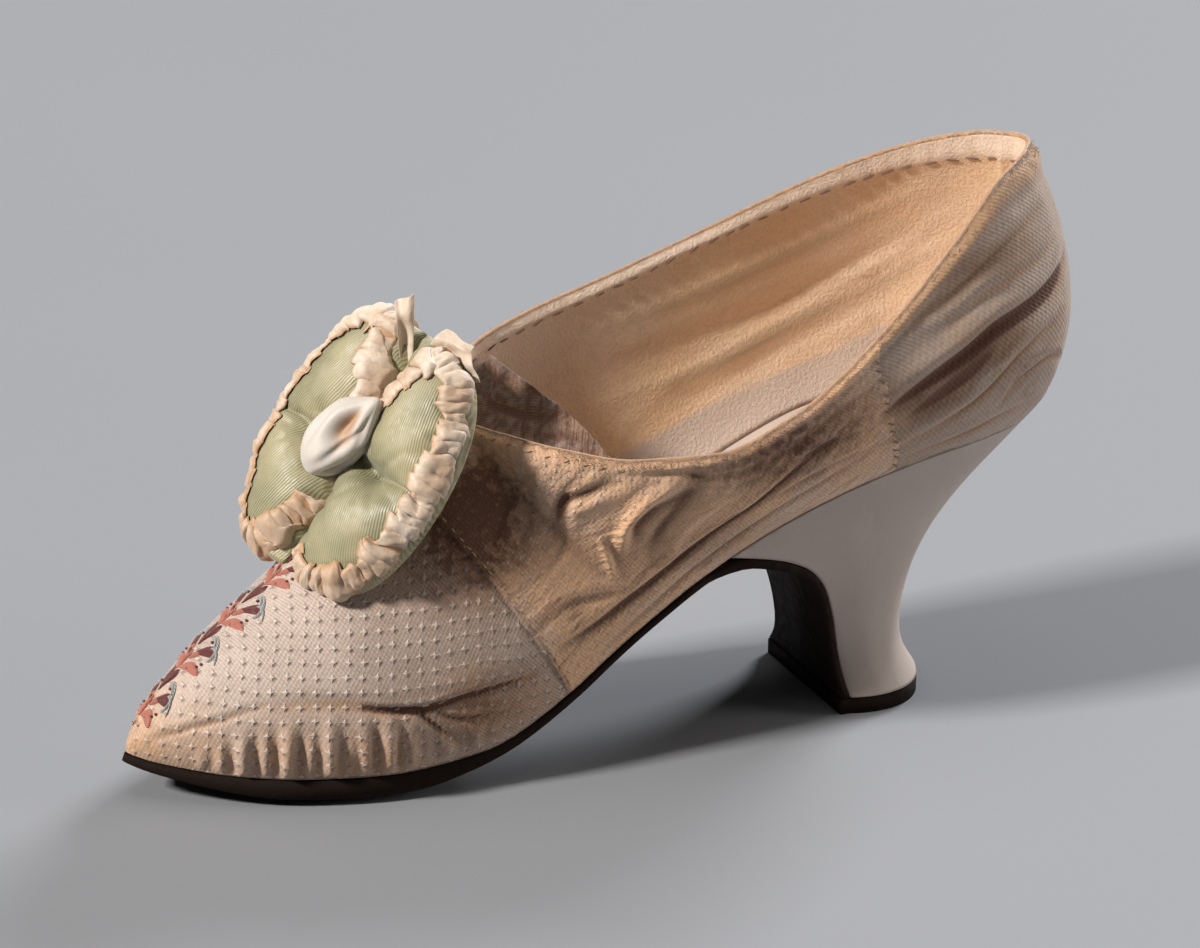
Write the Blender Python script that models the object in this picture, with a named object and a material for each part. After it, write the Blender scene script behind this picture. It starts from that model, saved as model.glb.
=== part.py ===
"""A lady's silk shoe with a covered, waisted heel and a padded bow on the instep.

The toe points along -X, the lower side of the collar lies on -Y (the outer side)
and the shoe stands on Z = 0. The upper is a fan of ribs that start at the sole's
edge and end at the ridge of the vamp, the throat or the collar. The insole, the
sole, the heel's seat and the tongue are worked out from the same ribs.
"""

import math
from collections import namedtuple
from functools import lru_cache

import bmesh
import bpy
import numpy as np
from mathutils import Matrix, Vector

# Driving dimensions, in metres
LENGTH = 0.240
BALL_WIDTH = 0.0546
HEEL_HEIGHT = 0.0655
WALL = 0.0016
GAP = 0.0003
SEAM_STEP = 0.0007
INSOLE_THICKNESS = 0.0015
INSOLE_INSET = 0.0009
TONGUE_THICKNESS = 0.0014
TONGUE_INSET = 0.0011
TONGUE_BEND = 0.5
SOLE_EDGE = 0.0005
TOP_PIECE_HEIGHT = 0.0038
BOW_LEAN = math.radians(57.0)

# The tables below are in millimetres for a shoe 240 long, 54.6 across the ball
# and 65.5 high at the heel seat. These three turn them into metres.
STRETCH = LENGTH / 240.0
SPREAD = BALL_WIDTH / 54.6
LIFT = HEEL_HEIGHT / 65.5

# The middle of the shoe's outline, which becomes the origin
MIDDLE_X = 0.119 * LENGTH / 0.240
MIDDLE_Y = -0.0013

OUTER = -1
INNER = 1

# One row for each rib from the toe to the back. The foot is its start on the
# sole's edge and the top its end. Facing is the outward direction, in degrees
# from straight sideways towards the toe. Belly and rise carry the start of the
# rib outwards and upwards, crown and drop do the same for its end.
Rib = namedtuple(
    "Rib",
    "foot_x foot_y foot_z facing belly rise crown drop top_x outer_y outer_z inner_y inner_z",
)
RIBS = [
    Rib(0.0, 0.0, 10.5, 90, 1.2, 2.5, 0.0, 3.0, 1.5, 0.0, 17.5, 0.0, 17.5),
    Rib(3.0, 3.6, 9.6, 60, 3.0, 6.0, 3.5, 1.5, 6.0, 0.0, 22.5, 0.0, 22.5),
    Rib(10.0, 8.8, 8.4, 48, 4.5, 8.5, 7.0, 2.0, 12.5, 0.0, 29.4, 0.0, 29.4),
    Rib(22.0, 16.2, 7.2, 36, 6.0, 11.5, 11.0, 2.0, 22.0, 0.0, 38.0, 0.0, 38.0),
    Rib(38.0, 23.2, 6.8, 24, 7.5, 15.0, 15.0, 2.0, 34.0, 0.0, 46.8, 0.0, 46.8),
    Rib(58.0, 27.3, 6.9, 8, 9.0, 19.0, 18.0, 2.0, 46.0, 0.0, 56.2, 0.0, 56.2),
    Rib(78.0, 27.2, 9.0, 0, 9.5, 22.0, 20.0, 2.0, 57.0, 0.0, 64.0, 0.0, 64.0),
    Rib(100.0, 24.6, 18.8, -4, 9.5, 20.0, 21.0, 2.0, 66.0, 0.0, 70.3, 0.0, 70.3),
    Rib(110.0, 23.2, 25.4, -4, 9.5, 19.0, 20.0, 2.0, 73.0, 0.0, 75.0, 0.0, 75.0),
    Rib(118.0, 22.2, 30.6, -4, 9.5, 18.0, 18.0, 2.5, 80.0, 0.0, 80.0, 0.0, 80.0),
    Rib(125.0, 21.5, 34.9, 0, 9.5, 17.0, 10.0, 8.0, 86.0, 13.5, 81.5, 13.5, 86.5),
    Rib(132.0, 21.0, 39.2, 0, 9.5, 16.0, 4.0, 12.0, 97.0, 25.5, 80.0, 24.5, 90.0),
    Rib(140.0, 20.8, 43.8, 0, 9.5, 14.0, 1.0, 13.0, 113.0, 32.5, 77.5, 29.0, 94.2),
    Rib(150.0, 21.2, 49.2, 0, 9.5, 12.0, 0.0, 12.0, 132.0, 35.5, 77.5, 31.0, 99.0),
    Rib(164.0, 22.6, 55.8, 0, 9.0, 11.0, 0.0, 12.0, 152.0, 34.5, 84.0, 32.0, 105.2),
    Rib(182.0, 23.8, 62.0, 0, 8.0, 14.0, 3.0, 16.0, 176.0, 30.5, 100.0, 31.0, 114.0),
    Rib(200.0, 22.6, 65.2, -12, 8.6, 16.0, 7.9, 22.0, 196.0, 25.0, 117.0, 26.5, 122.0),
    Rib(214.0, 18.0, 65.8, -35, 9.9, 17.0, 11.2, 27.0, 212.0, 17.0, 129.0, 18.5, 128.0),
    Rib(225.0, 10.0, 65.6, -62, 12.0, 17.0, 13.3, 29.0, 222.5, 8.5, 131.7, 9.0, 131.2),
    Rib(230.0, 0.0, 65.5, -90, 13.1, 17.0, 14.0, 30.0, 227.0, 0.0, 132.0, 0.0, 132.0),
]
LAST_RIB = len(RIBS) - 1
# How much of the way to its top a rib has gone when it leaves the sole's edge
RIB_LEAN = 0.33
SEAM_RIB = 7
THROAT_RIB = 9
HEEL_FRONT_RIB = 12.3
# Columns that change sign across the middle of the shoe
SIDEWAYS = ("foot_y", "outer_y", "inner_y", "crown", "facing")

# The sole's thickness from the toe to the heel's lip, by rib
SoleRow = namedtuple("SoleRow", "rib thickness edge_rise")
SOLE = [
    SoleRow(0.0, 1.8, 0.2),
    SoleRow(1.0, 2.4, 0.4),
    SoleRow(2.0, 3.6, 1.0),
    SoleRow(3.0, 5.8, 2.0),
    SoleRow(3.5, 7.2, 2.6),
    SoleRow(5.2, 7.2, 2.6),
    SoleRow(6.0, 4.2, 1.4),
    SoleRow(7.0, 2.8, 1.0),
    SoleRow(9.0, 2.4, 0.9),
    SoleRow(12.3, 2.2, 0.7),
]
FLAP_THICKNESS = 0.0021
# Where the sole is measured on its way down the heel's breast, as shares of its height
FLAP_HEIGHTS = [0.985, 0.96, 0.935, 0.91, 0.87, 0.82, 0.76, 0.70, 0.62, 0.52, 0.40, 0.28, 0.16, 0.07, 0.0]

# The heel's side from its base (0) to its seat (1): how far the back and the
# breast have run from the base outline to the seat outline, and the waist
HeelRow = namedtuple("HeelRow", "height back breast waist")
HEEL = [
    HeelRow(0.00, 0.00, 0.000, 0.0),
    HeelRow(0.08, 0.00, 0.010, 3.0),
    HeelRow(0.18, 0.01, 0.025, 4.8),
    HeelRow(0.30, 0.04, 0.050, 5.2),
    HeelRow(0.45, 0.11, 0.085, 4.6),
    HeelRow(0.58, 0.22, 0.135, 3.6),
    HeelRow(0.70, 0.38, 0.200, 2.4),
    HeelRow(0.82, 0.60, 0.320, 1.2),
    HeelRow(0.91, 0.80, 0.520, 0.5),
    HeelRow(0.96, 0.91, 0.740, 0.2),
    HeelRow(1.00, 1.00, 1.000, 0.0),
]
# The heel's base outline, from the breast corner to the middle of the back
BaseRow = namedtuple("BaseRow", "along x y")
HEEL_BASE = [
    BaseRow(0.00, 175.0, 20.5),
    BaseRow(0.25, 181.5, 21.8),
    BaseRow(0.50, 189.5, 19.8),
    BaseRow(0.75, 196.5, 12.5),
    BaseRow(1.00, 200.0, 0.0),
]

# The tongue from the outer to the inner side: where its root and its bend lie
# on the ribs, and its free edge
TongueRow = namedtuple("TongueRow", "across root_rib root_t bend_rib bend_t top_x top_y top_z")
TONGUE = [
    TongueRow(-1.0, 10.3, 0.74, 11.6, 0.90, 110.0, -28.6, 75.5),
    TongueRow(-0.5, 8.6, 0.86, 10.2, 0.97, 104.0, -17.5, 84.5),
    TongueRow(0.0, 7.4, 1.00, 9.0, 1.00, 96.0, 0.0, 90.5),
    TongueRow(0.5, 8.6, 0.86, 10.2, 0.93, 95.0, 11.5, 91.0),
    TongueRow(1.0, 10.3, 0.74, 11.0, 0.86, 98.0, 20.0, 86.5),
]

# The bow, in its own tilted frame: each lobe's roof angle, and in millimetres
# its inner edge from the middle, its width and length and its slide down the slope
Lobe = namedtuple("Lobe", "word side roof inner_edge width half_length slide")
LOBES = [
    Lobe("outer", OUTER, 26.0, 0.5, 27.5, 32.0, 2.6),
    Lobe("inner", INNER, -16.0, 1.0, 25.5, 32.0, 2.6),
]
LOBE_FULLNESS = 0.55
BOW_X, BOW_Z = 58.6, 78.0
PAD_FRONT = 0.0085
PAD_BACK = 0.0050
# The ruffle's way over a lobe's rim: out from the rim and to the front
RUFFLE_ARC = ((0.0006, 0.0), (0.0024, 0.0020), (0.0018, 0.0046))
RUFFLE_WAVE = 0.0010
RUFFLE_WAVES = 13
RUFFLE_THICKNESS = 0.0010
# Each lobe is drawn in across its middle by the knot: how deep, and over what share
TUFT_DEPTH, TUFT_SHARE = 0.55, 0.16
KNOT_HALF = Vector((0.0130, 0.0065, 0.0060))
KNOT_FORWARD = 0.0060
KNOT_ASLANT = math.radians(-30.0)

# Mesh fineness
STEPS_PER_RIB = 3
ROWS_UP = 10


def clear_scene():
    for obj in list(bpy.data.objects):
        bpy.data.objects.remove(obj, do_unlink=True)


def row_place(x, y, z):
    """A table place in metres, in the shoe's own frame."""
    return Vector((x * STRETCH - MIDDLE_X, y * SPREAD - MIDDLE_Y, z * LIFT))


def along(rows, key, column, at, flat_ends=False):
    """A column of a table between its rows, without overshoot."""
    knots = np.array([getattr(row, key) for row in rows], float)
    values = np.array([getattr(row, column) for row in rows], float)
    return hermite(knots, values, at, flat_ends)


def hermite(knots, values, at, flat_ends):
    steps = np.diff(knots)
    slopes = np.diff(values) / steps
    tangents = np.zeros(len(values))
    for i in range(1, len(values) - 1):
        if slopes[i - 1] * slopes[i] > 0:
            near = 2 * steps[i] + steps[i - 1]
            far = steps[i] + 2 * steps[i - 1]
            tangents[i] = (near + far) / (near / slopes[i - 1] + far / slopes[i])
    if not flat_ends:
        tangents[0] = slopes[0]
        tangents[-1] = slopes[-1]
    i = int(np.clip(np.searchsorted(knots, at) - 1, 0, len(steps) - 1))
    t = (at - knots[i]) / steps[i]
    return float(
        values[i] * (1 + 2 * t) * (1 - t) ** 2
        + values[i + 1] * t * t * (3 - 2 * t)
        + steps[i] * (tangents[i] * t * (1 - t) ** 2 - tangents[i + 1] * t * t * (1 - t))
    )


RIB_NUMBERS = np.arange(len(RIBS), dtype=float)
RIB_COLUMNS = {name: np.array([getattr(rib, name) for rib in RIBS], float) for name in Rib._fields}


def rib_value(column, rib):
    return hermite(RIB_NUMBERS, RIB_COLUMNS[column], rib, column not in SIDEWAYS)


def facing_vector(degrees, side):
    angle = math.radians(degrees)
    return Vector((-math.sin(angle), side * math.cos(angle), 0.0))


def foot_place(rib, side, outwards=0.0, up=0.0):
    """The sole's edge at a rib, moved level outwards and up."""
    place = row_place(
        rib_value("foot_x", rib), side * rib_value("foot_y", rib), rib_value("foot_z", rib)
    )
    place += facing_vector(rib_value("facing", rib), side) * outwards
    place.z += up
    return place


@lru_cache(maxsize=None)
def rib_corners(rib, side):
    """The four corners that draw a rib."""
    y_column, z_column = ("outer_y", "outer_z") if side == OUTER else ("inner_y", "inner_z")
    facing = rib_value("facing", rib)
    foot = foot_place(rib, side)
    top = row_place(
        rib_value("top_x", rib), side * rib_value(y_column, rib), rib_value(z_column, rib)
    )
    lower = foot + facing_vector(facing, side) * rib_value("belly", rib) * SPREAD
    lower.x += RIB_LEAN * (top.x - foot.x)
    lower.z += rib_value("rise", rib) * LIFT
    upper = top + facing_vector(min(facing, 0.0), side) * rib_value("crown", rib) * SPREAD
    upper.z -= rib_value("drop", rib) * LIFT
    return foot, lower, upper, top


def rib_place(rib, side, t):
    """The outer face of the vamp and quarters without the step at the seam."""
    foot, lower, upper, top = rib_corners(rib, side)
    return (
        foot * (1 - t) ** 3
        + lower * 3 * t * (1 - t) ** 2
        + upper * 3 * t * t * (1 - t)
        + top * t**3
    )


def rib_normal(rib, side, t):
    step = 0.04
    before, after = max(rib - step, 0.0), min(rib + step, float(LAST_RIB))
    low, high = max(t - step, 0.0), min(t + step, 1.0)
    down_foot = rib_place(after, side, t) - rib_place(before, side, t)
    up_rib = rib_place(rib, side, high) - rib_place(rib, side, low)
    on_ridge = t > 0.999 and rib <= THROAT_RIB
    if on_ridge:
        up_rib = Vector((0.0, -side, 0.0))
    normal = down_foot.cross(up_rib) * -side
    if on_ridge or rib in (0.0, float(LAST_RIB)):
        normal.y = 0.0
    return normal.normalized()


def wall_place(rib, side, t, outwards):
    return rib_place(rib, side, t) + rib_normal(rib, side, t) * outwards


def sheet(bm, columns, rows, place):
    """A grid whose corner (column, row) is moved to place(column, row)."""
    made = bmesh.ops.create_grid(bm, x_segments=columns, y_segments=rows, size=0.5)
    for vert in made["verts"]:
        column = round((vert.co.x + 0.5) * columns)
        row = round((vert.co.y + 0.5) * rows)
        vert.co = place(column, row)


def weld(bm, within=1e-6):
    bmesh.ops.remove_doubles(bm, verts=bm.verts, dist=within)
    bmesh.ops.dissolve_degenerate(bm, edges=bm.edges, dist=within)


def tube(bm, columns, loop, place):
    """A closed skin through one loop of corners for each column, with flat ends."""
    sheet(bm, columns, loop, lambda i, j: place(i, j % loop))
    weld(bm)
    bmesh.ops.holes_fill(bm, edges=[e for e in bm.edges if e.is_boundary], sides=0)


def finish(name, bm, material):
    bmesh.ops.recalc_face_normals(bm, faces=bm.faces)
    mesh = bpy.data.meshes.new(name)
    bm.to_mesh(mesh)
    bm.free()
    obj = bpy.data.objects.new(name, mesh)
    bpy.context.scene.collection.objects.link(obj)
    mesh.materials.append(material)
    return obj


def plain_material(name, colour, roughness):
    material = bpy.data.materials.new(name)
    material.use_nodes = True
    shader = material.node_tree.nodes["Principled BSDF"]
    shader.inputs["Base Color"].default_value = (*colour, 1.0)
    shader.inputs["Roughness"].default_value = roughness
    return material


def cut_by(obj, cutter):
    cut = obj.modifiers.new(f"{cutter.name} seat", "BOOLEAN")
    cut.operation = "DIFFERENCE"
    cut.solver = "EXACT"
    cut.object = cutter
    cutter.hide_render = True
    cutter.display_type = "WIRE"


def rib_stations(first, last):
    """Even rib numbers, the same for each piece so that their faces stay level."""
    count = LAST_RIB * STEPS_PER_RIB
    even = [i / STEPS_PER_RIB for i in range(count + 1)]
    return [rib for rib in even if first <= rib <= last]


def wall_stations():
    """Rib numbers along the wall, with two close together at the vamp seam."""
    even = rib_stations(0.0, float(LAST_RIB))
    kept = [rib for rib in even if abs(rib - SEAM_RIB) > 0.02]
    return sorted(kept + [SEAM_RIB - 0.05, SEAM_RIB + 0.05])


def wall_step(rib, t):
    """How far the quarters stand over the vamp; they sink back at the sole's edge."""
    return SEAM_STEP * min(1.0, t / 0.1) if rib > SEAM_RIB else 0.0


def build_upper():
    bm = bmesh.new()
    ribs = wall_stations()
    for side in (OUTER, INNER):
        sheet(
            bm,
            len(ribs) - 1,
            ROWS_UP,
            lambda i, j, side=side: wall_place(
                ribs[i], side, j / ROWS_UP, wall_step(ribs[i], j / ROWS_UP)
            ),
        )
        sheet(
            bm,
            len(ribs) - 1,
            ROWS_UP,
            lambda i, j, side=side: wall_place(ribs[i], side, j / ROWS_UP, -WALL),
        )
    weld(bm)
    bmesh.ops.bridge_loops(bm, edges=[e for e in bm.edges if e.is_boundary and lower_rim(e)])
    bmesh.ops.bridge_loops(bm, edges=[e for e in bm.edges if e.is_boundary])
    return finish("upper", bm, plain_material("silk", (0.62, 0.47, 0.43), 0.6))


def lower_rim(edge):
    """Whether a rim edge belongs to the sole's side of the upper."""
    middle = (edge.verts[0].co + edge.verts[1].co) / 2
    share = (middle.x + MIDDLE_X) / LENGTH
    return middle.z < 0.020 + 0.058 * share


def outer_form(outwards):
    """The upper's outer form as one solid, for cutting the seats of the bow."""
    bm = bmesh.new()
    ribs = wall_stations()
    for side in (OUTER, INNER):
        sheet(
            bm,
            len(ribs) - 1,
            ROWS_UP,
            lambda i, j, side=side: wall_place(
                ribs[i], side, j / ROWS_UP, wall_step(ribs[i], j / ROWS_UP) + outwards
            ),
        )
    weld(bm)
    bmesh.ops.holes_fill(bm, edges=[e for e in bm.edges if e.is_boundary], sides=0)
    return finish("upper form", bm, plain_material("cutter", (0.5, 0.5, 0.5), 0.5))


def build_insole():
    bm = bmesh.new()
    ribs = rib_stations(1.0, LAST_RIB - 0.3)
    inset = -(WALL + INSOLE_INSET)
    across = 2

    def place(i, j):
        rib = ribs[i]
        share, up = (j / across, 0.0) if j <= across else (2 - (j - 1) / across, INSOLE_THICKNESS)
        left = foot_place(rib, OUTER, inset, up)
        right = foot_place(rib, INNER, inset, up)
        return left.lerp(right, share)

    tube(bm, len(ribs) - 1, 2 * across + 2, place)
    return finish("insole", bm, plain_material("sock leather", (0.70, 0.62, 0.48), 0.8))


def heel_base(along_side, side):
    x = along(HEEL_BASE, "along", "x", along_side, True)
    y = along(HEEL_BASE, "along", "y", along_side)
    place = row_place(x, side * y, 0.0)
    place.z = TOP_PIECE_HEIGHT + GAP
    return place


def heel_place(along_side, side, height):
    """The heel's side, from the breast corner (0) round to the middle of the back (1)."""
    base = heel_base(along_side, side)
    rib = HEEL_FRONT_RIB + (LAST_RIB - HEEL_FRONT_RIB) * along_side
    seat = foot_place(rib, side, 0.0, -GAP)
    back = along(HEEL, "height", "back", height)
    breast = along(HEEL, "height", "breast", height)
    turn = along_side * along_side * (3 - 2 * along_side)
    run = breast + (back - breast) * min(1.0, 2.2 * turn)
    facing = max(-90.0, -90.0 * (along_side - 0.15) / 0.85) if along_side > 0.15 else 0.0
    waist = along(HEEL, "height", "waist", height) * SPREAD
    place = base.lerp(seat, run) - facing_vector(facing, side) * waist
    place.z = base.z + (seat.z - base.z) * height
    return place


HEIGHTS = [row.height for row in HEEL]
HEIGHT_STEPS = sorted(set(HEIGHTS + [(a + b) / 2 for a, b in zip(HEIGHTS, HEIGHTS[1:])]))


def build_heel():
    bm = bmesh.new()
    around, across = 14, 4

    def place(i, j):
        height = HEIGHT_STEPS[i]
        if j <= around:
            return heel_place(j / around, OUTER, height)
        if j <= 2 * around:
            return heel_place(2 - j / around, INNER, height)
        share = (j - 2 * around) / across
        return heel_place(0.0, INNER, height).lerp(heel_place(0.0, OUTER, height), share)

    loop = 2 * around + across
    sheet(bm, len(HEIGHT_STEPS) - 1, loop, lambda i, j: place(i, j % loop))
    sheet(
        bm,
        around,
        across,
        lambda i, j: heel_place(i / around, OUTER, 1.0).lerp(
            heel_place(i / around, INNER, 1.0), j / across
        ),
    )
    weld(bm)
    bmesh.ops.holes_fill(bm, edges=[e for e in bm.edges if e.is_boundary], sides=0)
    return finish("heel", bm, plain_material("heel leather", (0.72, 0.70, 0.66), 0.6))


def build_top_piece():
    bm = bmesh.new()
    around = 14
    outline = [heel_base(i / around, OUTER) for i in range(around)]
    outline += [heel_base(1 - i / around, INNER) for i in range(around + 1)]
    front = FLAP_THICKNESS + 2 * GAP
    outline += [place - Vector((front, 0.0, 0.0)) for place in (outline[-1], outline[0])]
    verts = [bm.verts.new((place.x, place.y, TOP_PIECE_HEIGHT)) for place in outline]
    top = bm.faces.new(verts)
    lowered = bmesh.ops.extrude_face_region(bm, geom=[top], use_keep_orig=True)["geom"]
    moved = [item for item in lowered if isinstance(item, bmesh.types.BMVert)]
    bmesh.ops.translate(bm, verts=moved, vec=(0.0, 0.0, -TOP_PIECE_HEIGHT))
    return finish("heel_top_piece", bm, plain_material("top piece leather", (0.05, 0.035, 0.03), 0.7))


def sole_stations():
    """Middle, upward direction, half-width, thickness and edge rise along the sole."""
    stations = []
    forepart = rib_stations(0.0, HEEL_FRONT_RIB - 0.5)
    for rib in forepart:
        edge = foot_place(rib, OUTER, SOLE_EDGE, -GAP)
        half = max(-MIDDLE_Y - edge.y, 0.0003)
        thickness = along(SOLE, "rib", "thickness", rib) * LIFT
        rise = along(SOLE, "rib", "edge_rise", rib) * LIFT
        stations.append([Vector((edge.x, -MIDDLE_Y, edge.z)), half, thickness, rise])
    thickness = along(SOLE, "rib", "thickness", HEEL_FRONT_RIB) * LIFT
    for height in FLAP_HEIGHTS:
        corner = heel_place(0.0, OUTER, height)
        share = 1 - height
        thick = thickness + (FLAP_THICKNESS - thickness) * min(1.0, 4 * share)
        middle = Vector((corner.x, -MIDDLE_Y, corner.z))
        stations.append([middle, -MIDDLE_Y - corner.y, thick, 0.0])
    middles = [station[0].copy() for station in stations]
    for i, station in enumerate(stations):
        run = middles[min(i + 1, len(middles) - 1)] - middles[max(i - 1, 0)]
        up = Vector((-run.z, 0.0, run.x)).normalized()
        if i >= len(forepart):
            station[0] = station[0] - up * GAP
        if i == len(stations) - 1:
            up = Vector((1.0, 0.0, 0.0))
        station.insert(1, up)
    return stations


def build_outsole():
    bm = bmesh.new()
    stations = sole_stations()
    across = 8

    def place(i, j):
        middle, up, half, thickness, rise = stations[i]
        if j <= across:
            share, depth = 2 * j / across - 1, 0.0
        else:
            share = 1 - 2 * (j - across - 1) / across
            depth = thickness - rise * max(0.0, (abs(share) - 0.5) / 0.5) ** 1.5
        corner = middle + Vector((0.0, share * half, 0.0)) - up * depth
        corner.z = max(corner.z, 0.0)
        return corner

    tube(bm, len(stations) - 1, 2 * across + 2, place)
    return finish("outsole", bm, plain_material("sole leather", (0.06, 0.04, 0.035), 0.75))


def tongue_place(across, length):
    side = OUTER if across < 0 else INNER
    inwards = -(WALL + TONGUE_INSET)
    value = {name: along(TONGUE, "across", name, across) for name in TongueRow._fields[1:]}
    bend = wall_place(value["bend_rib"], side, value["bend_t"], inwards)
    top = row_place(value["top_x"], value["top_y"], value["top_z"])
    if length > TONGUE_BEND:
        return bend.lerp(top, (length - TONGUE_BEND) / (1 - TONGUE_BEND))
    share = length / TONGUE_BEND
    rib = value["root_rib"] + (value["bend_rib"] - value["root_rib"]) * share
    t = value["root_t"] + (value["bend_t"] - value["root_t"]) * share
    return wall_place(rib, side, t, inwards)


def build_tongue():
    bm = bmesh.new()
    columns, rows = 16, 10
    sheet(bm, columns, rows, lambda i, j: tongue_place(2 * i / columns - 1, j / rows))
    obj = finish("tongue", bm, plain_material("tongue silk", (0.52, 0.40, 0.38), 0.6))
    if sum(polygon.normal.z for polygon in obj.data.polygons) < 0:
        obj.data.flip_normals()
    thicken = obj.modifiers.new("thickness", "SOLIDIFY")
    thicken.thickness = TONGUE_THICKNESS
    thicken.offset = -1.0
    return obj


def bow_frame(lobe):
    """A frame with x up the lobe, y out from the knot and z to the front."""
    roof = math.radians(lobe.roof)
    side = lobe.side
    up = Vector((math.cos(BOW_LEAN), 0.0, math.sin(BOW_LEAN)))
    front = Vector((-math.sin(BOW_LEAN), 0.0, math.cos(BOW_LEAN)))
    out = Vector((0.0, side, 0.0)) * math.cos(roof) - front * math.sin(roof)
    face = Vector((0.0, side, 0.0)) * math.sin(roof) + front * math.cos(roof)
    frame = Matrix.Identity(4)
    for i, axis in enumerate((up, out, face)):
        frame.col[i].xyz = axis
    frame.translation = row_place(BOW_X, 0.0, BOW_Z) - up * lobe.slide * SPREAD
    return frame


def ball(bm, segments, rings):
    """A sphere of radius 1 with its poles on X."""
    made = bmesh.ops.create_uvsphere(bm, u_segments=segments, v_segments=rings, radius=1.0)
    bmesh.ops.rotate(bm, verts=made["verts"], matrix=Matrix.Rotation(math.pi / 2, 3, "Y"))
    return made["verts"]


def build_pad(lobe, material):
    bm = bmesh.new()
    frame = bow_frame(lobe)
    for vert in ball(bm, 20, 16):
        lengthwise = vert.co.x
        girth = math.sqrt(max(0.0, 1 - lengthwise * lengthwise))
        turn = math.atan2(vert.co.z, vert.co.y)
        out = (lobe.inner_edge + lobe.width * girth**LOBE_FULLNESS * (math.cos(turn) + 1) / 2) * SPREAD
        depth = PAD_FRONT if vert.co.z > 0 else PAD_BACK
        pinch = math.exp(-((lengthwise / TUFT_SHARE) ** 2))
        tuft = TUFT_DEPTH * pinch * (1 - math.cos(turn)) / 2
        front = depth * girth**0.7 * math.sin(turn) * (1 - tuft)
        vert.co = frame @ Vector((lobe.half_length * SPREAD * lengthwise, out, front))
    return finish(f"bow_pad_{lobe.word}", bm, material)


def build_knot(name, swell, material):
    bm = bmesh.new()
    up = bow_frame(LOBES[0]).col[0].xyz
    front = Vector((-up.z, 0.0, up.x))
    middle = row_place(BOW_X, 0.0, BOW_Z) + front * KNOT_FORWARD
    turn = Matrix.Rotation(KNOT_ASLANT, 3, front)
    for vert in ball(bm, 16, 10):
        size = KNOT_HALF + Vector((swell, swell, swell))
        vert.co = (
            middle
            + turn @ up * vert.co.x * size.x
            + turn @ Vector((0.0, vert.co.y * size.y, 0.0))
            + front * vert.co.z * size.z
        )
    return finish(name, bm, material)


def build_ruffle(lobe, material):
    bm = bmesh.new()
    frame = bow_frame(lobe)
    columns, rows = 4 * RUFFLE_WAVES, len(RUFFLE_ARC) - 1

    def place(i, j):
        angle = math.pi * (0.01 + 0.98 * i / columns)
        lengthwise = -math.cos(angle)
        girth = math.sin(angle) ** LOBE_FULLNESS
        reach_out = lobe.inner_edge + lobe.width * girth
        rim = Vector((lobe.half_length * lengthwise, reach_out, 0.0)) * SPREAD
        outwards = Vector((lengthwise, math.sin(angle), 0.0)).normalized()
        reach, forward = RUFFLE_ARC[j]
        wave = RUFFLE_WAVE * j / rows * math.sin(2 * math.pi * RUFFLE_WAVES * i / columns)
        return frame @ (rim + outwards * (reach + wave) + Vector((0.0, 0.0, forward)))

    sheet(bm, columns, rows, place)
    obj = finish(f"bow_ruffle_{lobe.word}", bm, material)
    thicken = obj.modifiers.new("thickness", "SOLIDIFY")
    thicken.thickness = RUFFLE_THICKNESS
    thicken.offset = 0.0
    return obj


def build_bow():
    form = outer_form(GAP)
    green = plain_material("bow silk", (0.50, 0.52, 0.33), 0.45)
    ivory = plain_material("bow ribbon", (0.74, 0.70, 0.58), 0.55)
    build_knot("bow_knot", 0.0, ivory)
    knot_form = build_knot("knot form", GAP, ivory)
    for lobe in LOBES:
        pad = build_pad(lobe, green)
        cut_by(pad, form)
        cut_by(pad, knot_form)
        cut_by(build_ruffle(lobe, ivory), form)


def main():
    clear_scene()
    build_outsole()
    build_heel()
    build_top_piece()
    build_upper()
    build_tongue()
    build_insole()
    build_bow()


main()
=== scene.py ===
"""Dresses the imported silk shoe: its upper, seams, embroidery, heel, bow and stage."""

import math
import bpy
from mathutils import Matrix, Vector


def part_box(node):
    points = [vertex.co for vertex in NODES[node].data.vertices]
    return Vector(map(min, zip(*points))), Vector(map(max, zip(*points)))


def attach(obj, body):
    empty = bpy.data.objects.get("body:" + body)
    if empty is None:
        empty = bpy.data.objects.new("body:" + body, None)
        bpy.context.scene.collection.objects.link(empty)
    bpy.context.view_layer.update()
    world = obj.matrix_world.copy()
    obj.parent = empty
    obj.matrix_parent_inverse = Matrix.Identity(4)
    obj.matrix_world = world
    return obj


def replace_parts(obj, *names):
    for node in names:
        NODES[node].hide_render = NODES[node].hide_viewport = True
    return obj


bl_info = {
    "name": "Silk shoe with a bow",
    "version": (1, 0, 0),
    "blender": (4, 5, 0),
    "location": "View3D > Sidebar > Shoe",
    "description": "Makes the silk, lining, stitches, embroidery and bow of a heeled shoe",
    "category": "Object",
}

from collections import namedtuple

import bmesh
import bpy
import numpy as np
from bpy.props import FloatProperty, FloatVectorProperty, PointerProperty
from mathutils import Matrix, Vector
from mathutils.bvhtree import BVHTree

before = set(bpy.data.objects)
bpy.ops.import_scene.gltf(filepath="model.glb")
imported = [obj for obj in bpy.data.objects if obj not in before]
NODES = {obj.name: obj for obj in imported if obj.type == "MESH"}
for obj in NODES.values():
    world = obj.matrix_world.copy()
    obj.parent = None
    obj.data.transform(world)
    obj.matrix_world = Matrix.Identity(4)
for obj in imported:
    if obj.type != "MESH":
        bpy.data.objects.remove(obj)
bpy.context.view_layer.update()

MM = 0.001
OUTER = -1
INNER = 1
# Where the tables' origin, on the floor under the toe, lies in the frame
TABLE_ORIGIN = np.array([-0.119, 0.0013, 0.0])

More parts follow.
